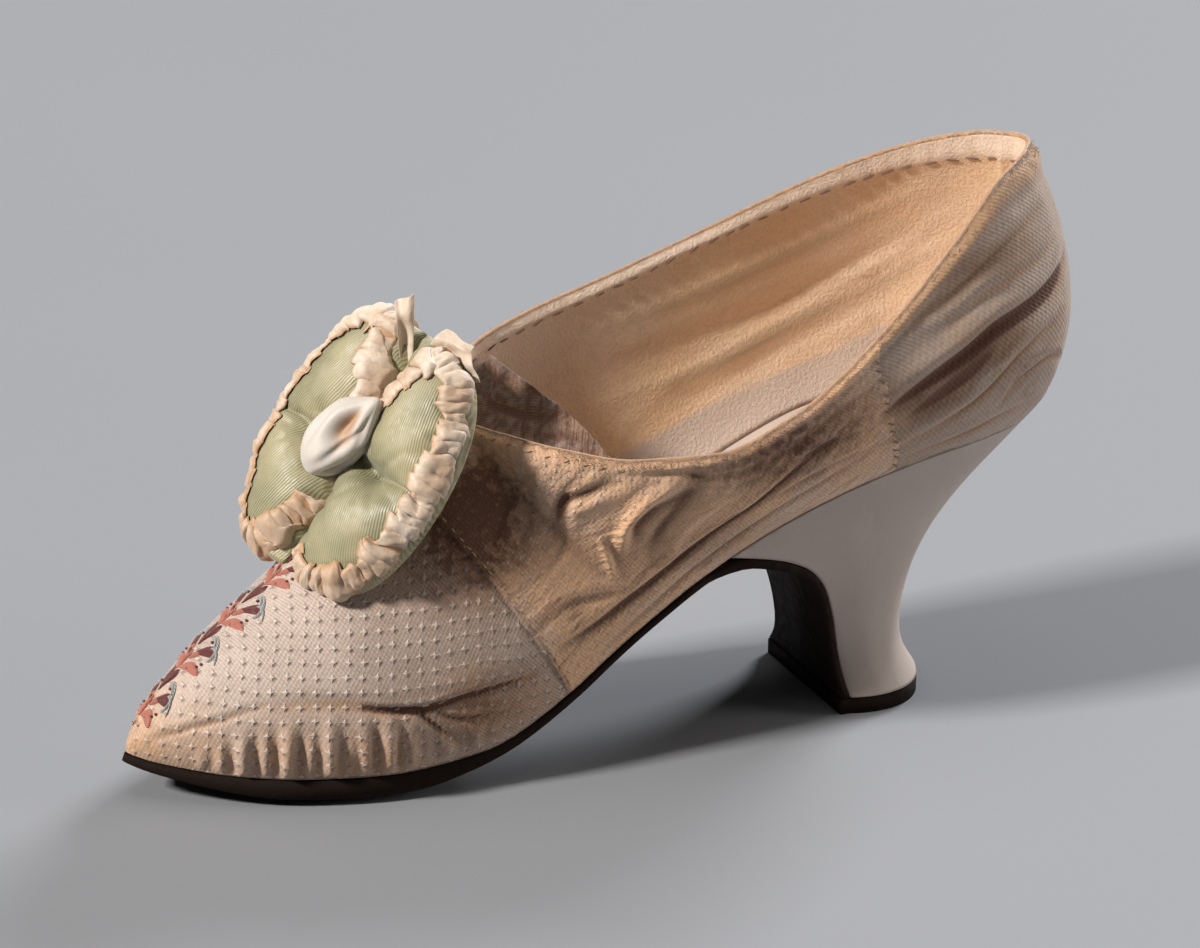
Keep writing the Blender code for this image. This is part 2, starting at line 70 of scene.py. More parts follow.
# The upper's ribs, as in the part's source: one row for each rib from the toe to
# the back, in millimetres. The foot is its start on the sole's edge and the top its
# end. Facing is the outward direction, in degrees from sideways towards the toe.
Rib = namedtuple(
    "Rib",
    "foot_x foot_y foot_z facing belly rise crown drop top_x outer_y outer_z inner_y inner_z",
)
RIBS = [
    Rib(0.0, 0.0, 10.5, 90, 1.2, 2.5, 0.0, 3.0, 1.5, 0.0, 17.5, 0.0, 17.5),
    Rib(3.0, 3.6, 9.6, 60, 3.0, 6.0, 3.5, 1.5, 6.0, 0.0, 22.5, 0.0, 22.5),
    Rib(10.0, 8.8, 8.4, 48, 4.5, 8.5, 7.0, 2.0, 12.5, 0.0, 29.4, 0.0, 29.4),
    Rib(22.0, 16.2, 7.2, 36, 6.0, 11.5, 11.0, 2.0, 22.0, 0.0, 38.0, 0.0, 38.0),
    Rib(38.0, 23.2, 6.8, 24, 7.5, 15.0, 15.0, 2.0, 34.0, 0.0, 46.8, 0.0, 46.8),
    Rib(58.0, 27.3, 6.9, 8, 9.0, 19.0, 18.0, 2.0, 46.0, 0.0, 56.2, 0.0, 56.2),
    Rib(78.0, 27.2, 9.0, 0, 9.5, 22.0, 20.0, 2.0, 57.0, 0.0, 64.0, 0.0, 64.0),
    Rib(100.0, 24.6, 18.8, -4, 9.5, 20.0, 21.0, 2.0, 66.0, 0.0, 70.3, 0.0, 70.3),
    Rib(110.0, 23.2, 25.4, -4, 9.5, 19.0, 20.0, 2.0, 73.0, 0.0, 75.0, 0.0, 75.0),
    Rib(118.0, 22.2, 30.6, -4, 9.5, 18.0, 18.0, 2.5, 80.0, 0.0, 80.0, 0.0, 80.0),
    Rib(125.0, 21.5, 34.9, 0, 9.5, 17.0, 10.0, 8.0, 86.0, 13.5, 81.5, 13.5, 86.5),
    Rib(132.0, 21.0, 39.2, 0, 9.5, 16.0, 4.0, 12.0, 97.0, 25.5, 80.0, 24.5, 90.0),
    Rib(140.0, 20.8, 43.8, 0, 9.5, 14.0, 1.0, 13.0, 113.0, 32.5, 77.5, 29.0, 94.2),
    Rib(150.0, 21.2, 49.2, 0, 9.5, 12.0, 0.0, 12.0, 132.0, 35.5, 77.5, 31.0, 99.0),
    Rib(164.0, 22.6, 55.8, 0, 9.0, 11.0, 0.0, 12.0, 152.0, 34.5, 84.0, 32.0, 105.2),
    Rib(182.0, 23.8, 62.0, 0, 8.0, 14.0, 3.0, 16.0, 176.0, 30.5, 100.0, 31.0, 114.0),
    Rib(200.0, 22.6, 65.2, -12, 8.6, 16.0, 7.9, 22.0, 196.0, 25.0, 117.0, 26.5, 122.0),
    Rib(214.0, 18.0, 65.8, -35, 9.9, 17.0, 11.2, 27.0, 212.0, 17.0, 129.0, 18.5, 128.0),
    Rib(225.0, 10.0, 65.6, -62, 12.0, 17.0, 13.3, 29.0, 222.5, 8.5, 131.7, 9.0, 131.2),
    Rib(230.0, 0.0, 65.5, -90, 13.1, 17.0, 14.0, 30.0, 227.0, 0.0, 132.0, 0.0, 132.0),
]
LAST_RIB = len(RIBS) - 1
RIB_NUMBERS = np.arange(len(RIBS), dtype=float)
RIB_LEAN = 0.33
SEAM_RIB = 7.0
THROAT_RIB = 9.0
# The side seam between the front and the back quarter, at the sole and at the collar
SIDE_SEAM = (15.05, 14.85)
# Columns that change sign across the middle of the shoe
SIDEWAYS = ("foot_y", "outer_y", "inner_y", "crown", "facing")

# Folds in the silk, drawn one by one. A path's points are rib numbers and shares of the
# way up the rib. Height is in millimetres, below zero for a trough, and so is width.
Fold = namedtuple("Fold", "side height width path")
FOLDS = [
    Fold(
        OUTER, -0.7, 2.0,
        ((3.4, 0.42), (4.4, 0.35), (5.0, 0.28), (5.4, 0.24), (6.1, 0.22), (6.7, 0.16)),
    ),
    Fold(OUTER, -1.6, 0.7, ((4.7, 0.31), (5.1, 0.265), (5.4, 0.24), (6.1, 0.22), (6.75, 0.16))),
    Fold(OUTER, -1.2, 0.7, ((5.3, 0.25), (5.5, 0.17), (5.75, 0.07))),
    Fold(OUTER, -1.2, 0.7, ((5.45, 0.23), (5.9, 0.15), (6.35, 0.11))),
    Fold(OUTER, -0.6, 0.9, ((5.6, 0.215), (6.0, 0.185), (6.5, 0.12))),
    Fold(OUTER, -0.5, 0.9, ((1.3, 0.30), (2.1, 0.36), (2.8, 0.39), (3.5, 0.42))),
    Fold(
        OUTER, -1.5, 1.4,
        ((7.2, 0.18), (8.3, 0.15), (10.6, 0.16), (12.7, 0.34), (13.9, 0.57), (14.6, 0.66)),
    ),
    Fold(OUTER, -0.7, 1.1, ((6.95, 0.28), (8.1, 0.27), (9.4, 0.19), (11.0, 0.27))),
    Fold(OUTER, -0.8, 1.2, ((8.0, 0.05), (10.0, 0.06), (12.0, 0.12), (13.6, 0.26), (14.8, 0.30))),
    Fold(OUTER, 2.1, 1.5, ((12.5, 0.88), (11.8, 0.68), (11.05, 0.48), (10.5, 0.36))),
    Fold(OUTER, 1.1, 0.9, ((10.25, 0.42), (9.9, 0.33), (9.5, 0.25))),
    Fold(OUTER, -1.2, 1.4, ((11.7, 0.90), (11.0, 0.72), (10.2, 0.60), (9.0, 0.46))),
    Fold(OUTER, -0.9, 2.2, ((12.7, 0.82), (11.8, 0.48), (10.8, 0.28))),
    Fold(OUTER, -0.6, 1.2, ((11.3, 0.92), (10.5, 0.66), (9.2, 0.44), (8.0, 0.38))),
    Fold(OUTER, 0.6, 2.0, ((13.1, 0.76), (12.0, 0.42), (11.0, 0.24))),
    Fold(OUTER, -0.9, 1.3, ((12.2, 0.93), (13.2, 0.82), (14.0, 0.80), (14.8, 0.78))),
    Fold(OUTER, -0.7, 1.1, ((13.0, 0.70), (14.0, 0.66), (14.7, 0.52))),
    Fold(OUTER, -0.7, 1.0, ((13.4, 0.40), (14.0, 0.42), (14.8, 0.34))),
    Fold(OUTER, -0.6, 1.2, ((10.4, 0.82), (9.2, 0.64), (8.0, 0.58), (7.3, 0.54))),
    Fold(OUTER, -0.5, 1.0, ((10.0, 0.72), (8.8, 0.54), (7.6, 0.48))),
    Fold(
        OUTER, -2.8, 2.0,
        ((14.9, 0.53), (15.5, 0.56), (16.0, 0.57), (16.45, 0.59), (17.3, 0.60), (18.0, 0.66)),
    ),
    Fold(OUTER, -0.9, 3.2, ((15.0, 0.38), (15.7, 0.44), (16.5, 0.50))),
    Fold(OUTER, -0.8, 1.4, ((15.1, 0.20), (16.0, 0.27), (16.9, 0.42), (17.6, 0.50))),
    Fold(OUTER, 0.9, 2.0, ((15.1, 0.28), (16.0, 0.36), (16.8, 0.48), (17.6, 0.54))),
    Fold(OUTER, -0.8, 1.6, ((15.2, 0.93), (15.9, 0.86), (16.7, 0.84), (17.6, 0.86))),
    Fold(OUTER, -0.6, 1.3, ((15.6, 0.76), (16.4, 0.74), (17.2, 0.72), (18.2, 0.78))),
    Fold(OUTER, -1.2, 0.7, ((16.1, 0.38), (16.4, 0.41), (16.68, 0.43))),
    Fold(OUTER, -0.8, 0.9, ((16.5, 0.20), (16.9, 0.29), (17.5, 0.33), (18.0, 0.28))),
    Fold(OUTER, -0.7, 1.2, ((15.0, 0.10), (15.8, 0.09), (16.6, 0.12), (17.4, 0.15))),
    Fold(OUTER, -0.7, 0.5, ((16.62, 0.26), (16.8, 0.33), (17.1, 0.37), (17.45, 0.36))),
    Fold(OUTER, -1.0, 0.5, ((17.1, 0.17), (17.3, 0.19))),
    Fold(INNER, -0.9, 1.5, ((3.6, 0.40), (4.6, 0.32), (5.6, 0.26), (6.6, 0.18))),
    Fold(INNER, -1.0, 1.8, ((7.4, 0.20), (9.4, 0.18), (11.2, 0.22), (12.8, 0.36), (14.4, 0.46))),
    Fold(INNER, 0.9, 2.2, ((12.0, 0.90), (11.0, 0.56), (9.8, 0.34), (8.6, 0.22))),
    Fold(INNER, -0.8, 1.6, ((11.4, 0.86), (10.4, 0.52), (9.0, 0.34))),
    Fold(INNER, -1.3, 2.4, ((15.0, 0.46), (16.0, 0.52), (17.0, 0.62))),
    Fold(INNER, -0.7, 1.6, ((15.2, 0.22), (16.2, 0.30), (17.2, 0.42))),
]
# Gathers where the silk is drawn under the sole: rib at the top and at the foot, how
# far up they reach and their height in millimetres
Gather = namedtuple("Gather", "top_rib foot_rib reach height")
GATHERS = [
    Gather(2.45, 2.40, 0.24, 0.35),
    Gather(2.78, 2.72, 0.28, 0.5),
    Gather(3.12, 3.06, 0.36, 1.2),
    Gather(3.46, 3.36, 0.34, 0.8),
    Gather(3.78, 3.63, 0.36, 1.5),
    Gather(4.06, 3.92, 0.30, 0.8),
    Gather(4.30, 4.16, 0.34, 1.5),
    Gather(4.50, 4.37, 0.28, 0.9),
    Gather(4.68, 4.56, 0.30, 1.2),
    Gather(4.96, 4.82, 0.30, 1.3),
    Gather(5.20, 5.06, 0.22, 0.8),
    Gather(5.62, 5.52, 0.18, 0.7),
    Gather(5.98, 5.88, 0.16, 0.6),
]
GATHER_WIDTH = 1.1
# Soft folds in the leather lining
LINING_FOLDS = [
    Fold(INNER, 1.0, 3.0, ((12.4, 0.58), (13.8, 0.52), (15.2, 0.50), (16.6, 0.62))),
    Fold(INNER, -0.9, 1.8, ((12.3, 0.45), (13.8, 0.40), (15.1, 0.40), (16.3, 0.47), (17.2, 0.62))),
    Fold(INNER, -0.8, 2.0, ((12.8, 0.76), (14.1, 0.71), (15.5, 0.72), (17.0, 0.84))),
    Fold(INNER, -0.6, 1.4, ((13.2, 0.52), (14.6, 0.45), (16.2, 0.54), (17.3, 0.74))),
    Fold(INNER, 0.8, 2.4, ((13.2, 0.30), (14.6, 0.28), (15.8, 0.30))),
    Fold(INNER, -0.7, 1.2, ((14.4, 0.28), (15.4, 0.27), (16.4, 0.34))),
    Fold(INNER, -0.8, 1.0, ((18.2, 0.96), (18.1, 0.85), (17.75, 0.70))),
    Fold(OUTER, 0.7, 3.0, ((12.4, 0.50), (13.8, 0.45), (15.4, 0.50), (16.8, 0.58))),
    Fold(OUTER, -0.6, 2.6, ((13.0, 0.68), (14.6, 0.64), (16.2, 0.72))),
]
# How high the insole's edge is turned up inside the back part: ribs and shares up
SOCK_EDGE = np.array([12.0, 13.6, 15.3, 16.3, 18.0]), np.array([0.24, 0.23, 0.20, 0.26, 0.30])
# Where the silk has yellowed, gathered dirt or worn bare, and where painted shade lies: middle,
# half sizes along and up in millimetres, and how golden it is, how much dirt and painted
# shade it has, and how bare it is there
Blot = namedtuple("Blot", "side rib t along up gold soil bare")
BLOTS = [
    Blot(OUTER, 0.6, 0.30, 15, 13, 1.0, 0.15, 0.2),
    Blot(OUTER, 2.0, 0.10, 20, 9, 0.7, 0.10, 0.0),
    Blot(OUTER, 4.6, 0.10, 34, 11, 0.6, 0.15, 0.0),
    Blot(OUTER, 6.1, 0.16, 16, 11, 1.0, 0.62, 0.2),
    # The next two are mostly the bow's cast shadow: painted shadow, over a little real staining of the
    # silk.
    Blot(OUTER, 7.7, 0.66, 19, 21, 1.0, 1.35, 0.0),
    Blot(OUTER, 6.5, 0.74, 10, 13, 0.7, 0.90, 0.0),
    Blot(OUTER, 8.6, 0.20, 18, 18, 1.0, 0.15, 0.0),
    Blot(OUTER, 10.5, 0.30, 22, 22, 1.0, 0.08, 0.0),
    Blot(OUTER, 12.5, 0.55, 22, 22, 1.0, 0.12, 0.1),
    Blot(OUTER, 13.8, 0.88, 26, 12, 0.5, 1.00, 0.1),
    Blot(OUTER, 12.2, 0.20, 30, 8, 0.6, 0.32, 0.0),
    Blot(OUTER, 14.3, 0.40, 16, 9, 0.6, 0.40, 0.0),
    Blot(OUTER, 16.9, 0.30, 10, 6, 0.2, 0.20, 1.0),
    Blot(OUTER, 15.4, 0.46, 11, 6, 0.4, 0.75, 0.0),
    Blot(OUTER, 16.4, 0.55, 11, 5, 0.4, 0.60, 0.0),
    Blot(OUTER, 16.0, 0.92, 22, 5, 0.5, 0.45, 0.0),
    Blot(OUTER, 18.0, 0.40, 8, 18, 0.4, 0.30, 0.5),
    Blot(INNER, 0.6, 0.30, 15, 13, 1.0, 0.15, 0.2),
    Blot(INNER, 4.4, 0.10, 40, 11, 0.6, 0.15, 0.0),
    Blot(INNER, 9.6, 0.30, 34, 24, 0.9, 0.30, 0.0),
    Blot(INNER, 13.0, 0.60, 28, 24, 0.9, 0.40, 0.0),
    Blot(INNER, 17.0, 0.35, 14, 12, 0.3, 0.30, 0.6),
]

# The bow's lobes, as in the part's source
Lobe = namedtuple("Lobe", "word side roof inner_edge width half_length slide")
LOBES = [
    Lobe("outer", OUTER, 26.0, 0.5, 27.5, 32.0, 2.6),
    Lobe("inner", INNER, -16.0, 1.0, 25.5, 32.0, 2.6),
]
LOBE_FULLNESS = 0.55
BOW_LEAN = math.radians(57.0)
BOW_UP = Vector((math.cos(BOW_LEAN), 0.0, math.sin(BOW_LEAN)))
BOW_FRONT = Vector((-math.sin(BOW_LEAN), 0.0, math.cos(BOW_LEAN)))
BOW_MIDDLE = Vector(np.array([58.6, 0.0, 78.0]) * MM + TABLE_ORIGIN)

# The folded edge inside the collar: where it starts up the rib, and its stitches
BINDING_FOOT = 0.925
STITCH_SPACING = 0.0052

# Mesh fineness of the upper
COLUMNS_PER_RIB = 20
ROWS_UP = 84
LINING_ROWS = 30
BINDING_ROWS = 9
RIM_ROWS = 4


# Settings that a user would change


def length(name, description, default):
    return FloatProperty(name=name, description=description, default=default, unit="LENGTH", precision=5)


def colour(name, description, default):
    return FloatVectorProperty(
        name=name, description=description, default=default, subtype="COLOR", size=3, min=0.0, max=1.0
    )


class ShoeSizes(bpy.types.PropertyGroup):
    """Sizes of what is sewn on the shoe."""

    wall: length("Wall", "Thickness of the upper's wall", 0.0016)
    seam_step: length("Seam step", "How far the quarters stand over the vamp", 0.0007)
    star_pitch: length("Star pitch", "Distance between the woven stars", 0.00355)
    star_reach: length("Star reach", "Half the width of a woven star", 0.00130)
    thread: length("Thread", "Thickness of the sewing thread", 0.0005)
    stitch: length("Stitch", "Length of a stitch along the collar", 0.0032)
    sprig_pitch: length("Sprig pitch", "Distance between the embroidered sprigs", 0.0138)
    ribbon: length("Ribbon", "Width of the bow's gathered ribbon", 0.0104)
    pleat: length("Pleat", "Distance between the pleats of that ribbon", 0.0038)
    fullness: FloatProperty(
        name="Fullness",
        description="Length of flat ribbon gathered into each length of rim",
        default=1.6,
    )


class ShoeColours(bpy.types.PropertyGroup):
    """Colours of the shoe's materials."""

    silk: colour("Silk", "Ground of the silk", (0.55, 0.445, 0.385))
    star: colour("Stars", "Woven stars in the silk", (0.68, 0.58, 0.51))
    gold: colour("Golden silk", "Silk that has yellowed", (0.68, 0.42, 0.25))
    # Also the colour of painted shade in the silk's folds and hollows, and of the painted shadow under
    # the bow.
    soil: colour("Soil", "Soil and painted shade in the folds", (0.115, 0.042, 0.022))
    bare: colour("Bare silk", "Silk worn down to its ground", (0.36, 0.29, 0.24))
    lining: colour("Lining", "Leather lining", (0.78, 0.54, 0.345))
    insole: colour("Insole", "Leather sock", (0.58, 0.47, 0.40))
    heel: colour("Heel", "Leather over the heel", (0.49, 0.415, 0.375))
    sole: colour("Sole", "Sole leather", (0.014, 0.008, 0.0055))
    pad: colour("Bow silk", "Ribbed silk of the bow's lobes", (0.150, 0.160, 0.074))
    ribbon: colour("Ribbon", "Ribbon round the bow's lobes", (0.66, 0.55, 0.44))
    knot: colour("Knot", "Ribbon of the knot", (0.60, 0.555, 0.505))
    leaf: colour("Dark leaves", "Dark leaves of the embroidery", (0.14, 0.018, 0.015))
    under_leaf: colour("Pale leaves", "Pale leaves of the embroidery", (0.52, 0.17, 0.115))
    scroll: colour("Scrolls", "Scrolls of the embroidery", (0.36, 0.37, 0.36))
    thread: colour("Thread", "Sewing thread", (0.50, 0.31, 0.17))
    dark_thread: colour("Dark thread", "Thread of the side seam", (0.17, 0.085, 0.05))


class ShoeStage(bpy.types.PropertyGroup):
    """Floor, light and camera."""

    floor: colour("Floor", "Colour of the floor", (0.243, 0.252, 0.273))
    key: FloatProperty(name="Key light", description="Power of the key light in watts", default=530.0)
    fill: FloatProperty(name="Fill light", description="Strength of the light all round", default=0.05)
    distance: length("Camera distance", "From the camera to its aim", 1.300)
    yaw: FloatProperty(
        name="Camera turn",
        description="Turn round the shoe",
        default=math.radians(-22.0),
        subtype="ANGLE",
    )
    elevation: FloatProperty(
        name="Camera height",
        description="Angle above the floor",
        default=math.radians(19.9),
        subtype="ANGLE",
    )


# Places on the upper


def hermite(knots, values, at, flat_ends):
    """Values between knots without overshoot."""
    steps = np.diff(knots)
    slopes = np.diff(values) / steps
    near = 2 * steps[1:] + steps[:-1]
    far = steps[1:] + 2 * steps[:-1]
    same_way = slopes[:-1] * slopes[1:] > 0
    tangents = np.zeros(len(values))
    before, after = (np.where(same_way, part, 1.0) for part in (slopes[:-1], slopes[1:]))
    tangents[1:-1] = np.where(same_way, (near + far) / (near / before + far / after), 0.0)
    if not flat_ends:
        tangents[0] = slopes[0]
        tangents[-1] = slopes[-1]
    i = np.clip(np.searchsorted(knots, at) - 1, 0, len(steps) - 1)
    t = (at - knots[i]) / steps[i]
    return (
        values[i] * (1 + 2 * t) * (1 - t) ** 2
        + values[i + 1] * t * t * (3 - 2 * t)
        + steps[i] * (tangents[i] * t * (1 - t) ** 2 - tangents[i + 1] * t * t * (1 - t))
    )


def smooth(low, high, value):
    """A soft step from 0 at low to 1 at high."""
    share = np.clip((value - low) / (high - low), 0.0, 1.0)
    return share * share * (3 - 2 * share)


def bell(value, width):
    """A soft hump: 1 at zero, falling off over a width."""
    return np.exp(-((value / width) ** 2))


def run_along(places):
    """Distances along a line of places, from its start."""
    return np.concatenate([[0.0], np.cumsum(np.linalg.norm(np.diff(places, axis=0), axis=1))])


def rib_column(name, ribs):
    values = np.array([getattr(rib, name) for rib in RIBS], float)
    return hermite(RIB_NUMBERS, values, ribs, name not in SIDEWAYS)


def outward(degrees, side):
    angle = np.radians(degrees)
    return np.stack([-np.sin(angle), side * np.cos(angle), np.zeros_like(angle)], axis=-1)


def rib_points(ribs, ts, side):
    """The upper's outer face at rib numbers and shares of the way up, in metres."""
    ribs, ts = np.broadcast_arrays(np.asarray(ribs, float), np.asarray(ts, float))
    row = Rib(*(rib_column(name, ribs) for name in Rib._fields))
    y, z = (row.outer_y, row.outer_z) if side == OUTER else (row.inner_y, row.inner_z)
    foot = np.stack([row.foot_x, side * row.foot_y, row.foot_z], axis=-1)
    top = np.stack([row.top_x, side * y, z], axis=-1)
    lower = foot + outward(row.facing, side) * row.belly[..., None]
    lower[..., 0] += RIB_LEAN * (top - foot)[..., 0]
    lower[..., 2] += row.rise
    upper = top + outward(np.minimum(row.facing, 0.0), side) * row.crown[..., None]
    upper[..., 2] -= row.drop
    t = ts[..., None]
    curve = foot * (1 - t) ** 3 + 3 * lower * t * (1 - t) ** 2 + 3 * upper * t * t * (1 - t) + top * t**3
    return curve * MM + TABLE_ORIGIN


def rib_normals(ribs, ts, side):
    ribs, ts = np.broadcast_arrays(np.asarray(ribs, float), np.asarray(ts, float))
    step = 0.04
    back = rib_points(np.minimum(ribs + step, LAST_RIB), ts, side)
    ahead = rib_points(np.maximum(ribs - step, 0.0), ts, side)
    above = rib_points(ribs, np.minimum(ts + step, 1.0), side)
    below = rib_points(ribs, np.maximum(ts - step, 0.0), side)
    ridge = (ts > 0.999) & (ribs <= THROAT_RIB)
    up = np.where(ridge[..., None], np.array([0.0, -side, 0.0]), above - below)
    normal = np.cross(back - ahead, up) * -side
    level = ridge | (ribs <= 0.0) | (ribs >= LAST_RIB)
    normal[..., 1] = np.where(level, 0.0, normal[..., 1])
    return normal / np.linalg.norm(normal, axis=-1, keepdims=True)


class Fabric:
    """The silk laid flat: millimetres along the shoe and up from the floor."""

    def __init__(self, side):
        self.per_rib, self.rows = 10, 40
        ribs = np.linspace(0.0, LAST_RIB, LAST_RIB * self.per_rib + 1)[:, None]
        places = rib_points(ribs, np.linspace(0.0, 1.0, self.rows + 1)[None, :], side) / MM
        run = np.linalg.norm(np.diff(places[..., :2], axis=0), axis=-1)
        rise = np.linalg.norm(np.diff(places[..., 1:], axis=1), axis=-1)
        along = np.zeros(places.shape[:2])
        along[1:] = np.cumsum(run, axis=0)
        up = np.zeros(places.shape[:2])
        up[:, 1:] = np.cumsum(rise, axis=1)
        self.along = along + places[:1, :, 0]
        self.up = up + places[:, :1, 2]

    def __call__(self, ribs, ts):
        ribs, ts = np.broadcast_arrays(np.asarray(ribs, float), np.asarray(ts, float))
        i = np.clip((ribs * self.per_rib).astype(int), 0, self.along.shape[0] - 2)
        j = np.clip((ts * self.rows).astype(int), 0, self.rows - 1)
        a = ribs * self.per_rib - i
        b = ts * self.rows - j

        def between(table):
            low = table[i, j] * (1 - a) + table[i + 1, j] * a
            high = table[i, j + 1] * (1 - a) + table[i + 1, j + 1] * a
            return low * (1 - b) + high * b

        return between(self.along), between(self.up)


FABRIC = {side: Fabric(side) for side in (OUTER, INNER)}


def soft_waves(along, up, size, seed):
    """Gentle unevenness between -1 and 1 for places in millimetres."""
    rng = np.random.default_rng(seed)
    total = np.zeros_like(along)
    for _ in range(7):
        angle, phase = rng.uniform(0.0, 2 * math.pi, 2)
        reach = size * rng.uniform(0.7, 1.6)
        wave = (along * math.cos(angle) + up * math.sin(angle)) * 2 * math.pi / reach
        total += np.sin(wave + phase)
    return total / 7


def fold_distance(along, up, path):
    """Signed distance from a path, and the share of the way along it."""
    knots = np.arange(len(path), dtype=float)
    fine = np.linspace(0.0, len(path) - 1.0, 6 * (len(path) - 1) + 1)
    line = np.stack([hermite(knots, path[:, k], fine, False) for k in (0, 1)], axis=-1)
    best = np.full(along.shape, 1e9)
    signed = np.zeros(along.shape)
    share = np.zeros(along.shape)
    for k in range(len(line) - 1):
        run = line[k + 1] - line[k]
        x, y = along - line[k, 0], up - line[k, 1]
        t = np.clip((x * run[0] + y * run[1]) / (run @ run), 0.0, 1.0)
        away = np.hypot(x - t * run[0], y - t * run[1])
        nearer = away < best
        best = np.where(nearer, away, best)
        signed = np.where(nearer, np.copysign(away, run[0] * y - run[1] * x), signed)
        share = np.where(nearer, (k + t) / (len(line) - 1), share)
    return signed, share


def fold_relief(folds, ribs, ts, side):
    """Height in millimetres of the folds on one side."""
    fabric = FABRIC[side]
    along, up = fabric(ribs, ts)
    height = np.zeros_like(along)
    for fold in folds:
        if fold.side != side:
            continue
        rib, t = (np.array(column) for column in zip(*fold.path))
        path = np.stack(fabric(rib, t), axis=-1)
        away, share = fold_distance(along, up, path)
        taper = np.sin(math.pi * (0.04 + 0.92 * share)) ** 0.7
        middle = bell(away, fold.width)
        lip = bell(away - 2.0 * fold.width, 1.3 * fold.width)
        height += fold.height * taper * (middle - 0.45 * lip)
    return height


def gather_relief(ribs, ts, side):
    """Height in millimetres of the gathers at the sole's edge."""
    fabric = FABRIC[side]
    along, _ = fabric(ribs, ts)
    height = np.zeros_like(along)
    for gather in GATHERS:
        share = np.clip(ts / gather.reach, 0.0, 1.0)
        rib = gather.foot_rib + (gather.top_rib - gather.foot_rib) * share
        middle, _ = fabric(rib, ts)
        fade = 1 - smooth(0.45, 1.0, share)
        away = along - middle
        width = GATHER_WIDTH * (0.75 + 0.4 * gather.height)
        ridge = bell(away, width)
        trough = bell(np.abs(away) - 2.2 * width, width)
        height += gather.height * fade * (ridge - 0.6 * trough)
    return height


def silk_relief(ribs, ts, side):
    """Height of the silk over the plain form, soft at its edges, and of its folds, whose troughs get
    painted shade in the silk's colour.
    """
    along, up = FABRIC[side](ribs, ts)
    folds, gathers = fold_relief(FOLDS, ribs, ts, side), gather_relief(ribs, ts, side)
    free = (1 - smooth(0.90, 1.0, ts)) * (1 - smooth(LAST_RIB - 0.6, LAST_RIB, ribs))
    shared = 0.22 * soft_waves(along, up, 26.0, 3) + 0.10 * soft_waves(along, up, 9.0, 4)
    height = ((folds + gathers) * free + shared) * smooth(0.0, 0.07, ts)
    return height, (folds + 0.35 * gathers) * free


def blot_masks(ribs, ts, side):
    """How golden, soiled and bare the silk is."""
    fabric = FABRIC[side]
    along, up = fabric(ribs, ts)
    masks = np.zeros((3, *along.shape))
    for blot in BLOTS:
        if blot.side != side:
            continue
        x, y = fabric(blot.rib, blot.t)
        inside = bell(np.hypot((along - x) / blot.along, (up - y) / blot.up), 1.0)
        for mask, strength in zip(masks, (blot.gold, blot.soil, blot.bare)):
            np.maximum(mask, strength * inside, out=mask)
    return masks


# Mesh helpers


def grid_sheet(bm, places, layers, material=None):
    """A grid whose corners take the places of an array, with values for named layers."""
    columns, rows = places.shape[0] - 1, places.shape[1] - 1
    made = bmesh.ops.create_grid(bm, x_segments=columns, y_segments=rows, size=0.5)["verts"]
    spot = {}
    for vert in made:
        spot[vert] = (round((vert.co.x + 0.5) * columns), round((vert.co.y + 0.5) * rows))
    for vert, (i, j) in spot.items():
        vert.co = places[i, j]
    for layer, values in layers.items():
        for vert, (i, j) in spot.items():
            vert[layer] = values[i, j]
    if material is not None:
        for face in {face for vert in made for face in vert.link_faces}:
            corner = min(spot[vert] for vert in face.verts)
            face.material_index = material(*corner)


# Corners that lie closer than this, in metres, are one
SAME_PLACE = 1e-6


def weld(bm):
    bmesh.ops.remove_doubles(bm, verts=bm.verts, dist=SAME_PLACE)
    bmesh.ops.dissolve_degenerate(bm, edges=bm.edges, dist=SAME_PLACE)


def relax(bm, factor):
    """Smooths a mesh a little all over."""
    bmesh.ops.smooth_vert(
        bm, verts=bm.verts, factor=factor, use_axis_x=True, use_axis_y=True, use_axis_z=True
    )


def evaluated_mesh(piece):
    """A piece's mesh with its modifiers applied."""
    return bpy.data.meshes.new_from_object(piece.evaluated_get(bpy.context.evaluated_depsgraph_get()))


def new_piece(name, bm, *materials):
    """A finished mesh as an object that rides on the shoe."""
    mesh = bpy.data.meshes.new(name)
    bm.to_mesh(mesh)
    bm.free()
    for material in materials:
        mesh.materials.append(material)
    mesh.polygons.foreach_set("use_smooth", [True] * len(mesh.polygons))
    piece = bpy.data.objects.new(name, mesh)
    bpy.context.scene.collection.objects.link(piece)
    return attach(piece, "root")


def merged_copy(node):
    """A CAD node's form as welded quads."""
    bm = bmesh.new()
    bm.from_mesh(NODES[node].data)
    weld(bm)
    bmesh.ops.join_triangles(
        bm, faces=bm.faces, angle_face_threshold=math.radians(30), angle_shape_threshold=math.radians(60)
    )
    return bm


def keep_sharp(bm, degrees):
    """Edges sharper than an angle stay sharp under a subdivision."""
    crease = bm.edges.layers.float.new("crease_edge")
    for edge in bm.edges:
        if len(edge.link_faces) == 2 and edge.calc_face_angle() > math.radians(degrees):
            edge[crease] = 1.0


def subdivided(piece, levels):
    modifier = piece.modifiers.new("fineness", "SUBSURF")
    modifier.levels = levels
    modifier.render_levels = levels
    return piece


def add_stitch(bm, middle, direction, normal, long, thick):
    """One stitch: a small rounded bar lying on a surface."""
    bar = bmesh.new()
    made = bmesh.ops.create_uvsphere(bar, u_segments=6, v_segments=4, radius=0.5)["verts"]
    across = normal.cross(direction)
    turn = Matrix((direction, across, normal)).transposed()
    for vert in made:
        x, y, z = vert.co
        bow = 0.3 * thick * (1 - 4 * x * x)
        vert.co = middle + turn @ Vector((z * long, y * thick, x * thick + bow))
    mesh = bpy.data.meshes.new("stitch")
    bar.to_mesh(mesh)
    bar.free()
    bm.from_mesh(mesh)
    bpy.data.meshes.remove(mesh)


# Shader helpers


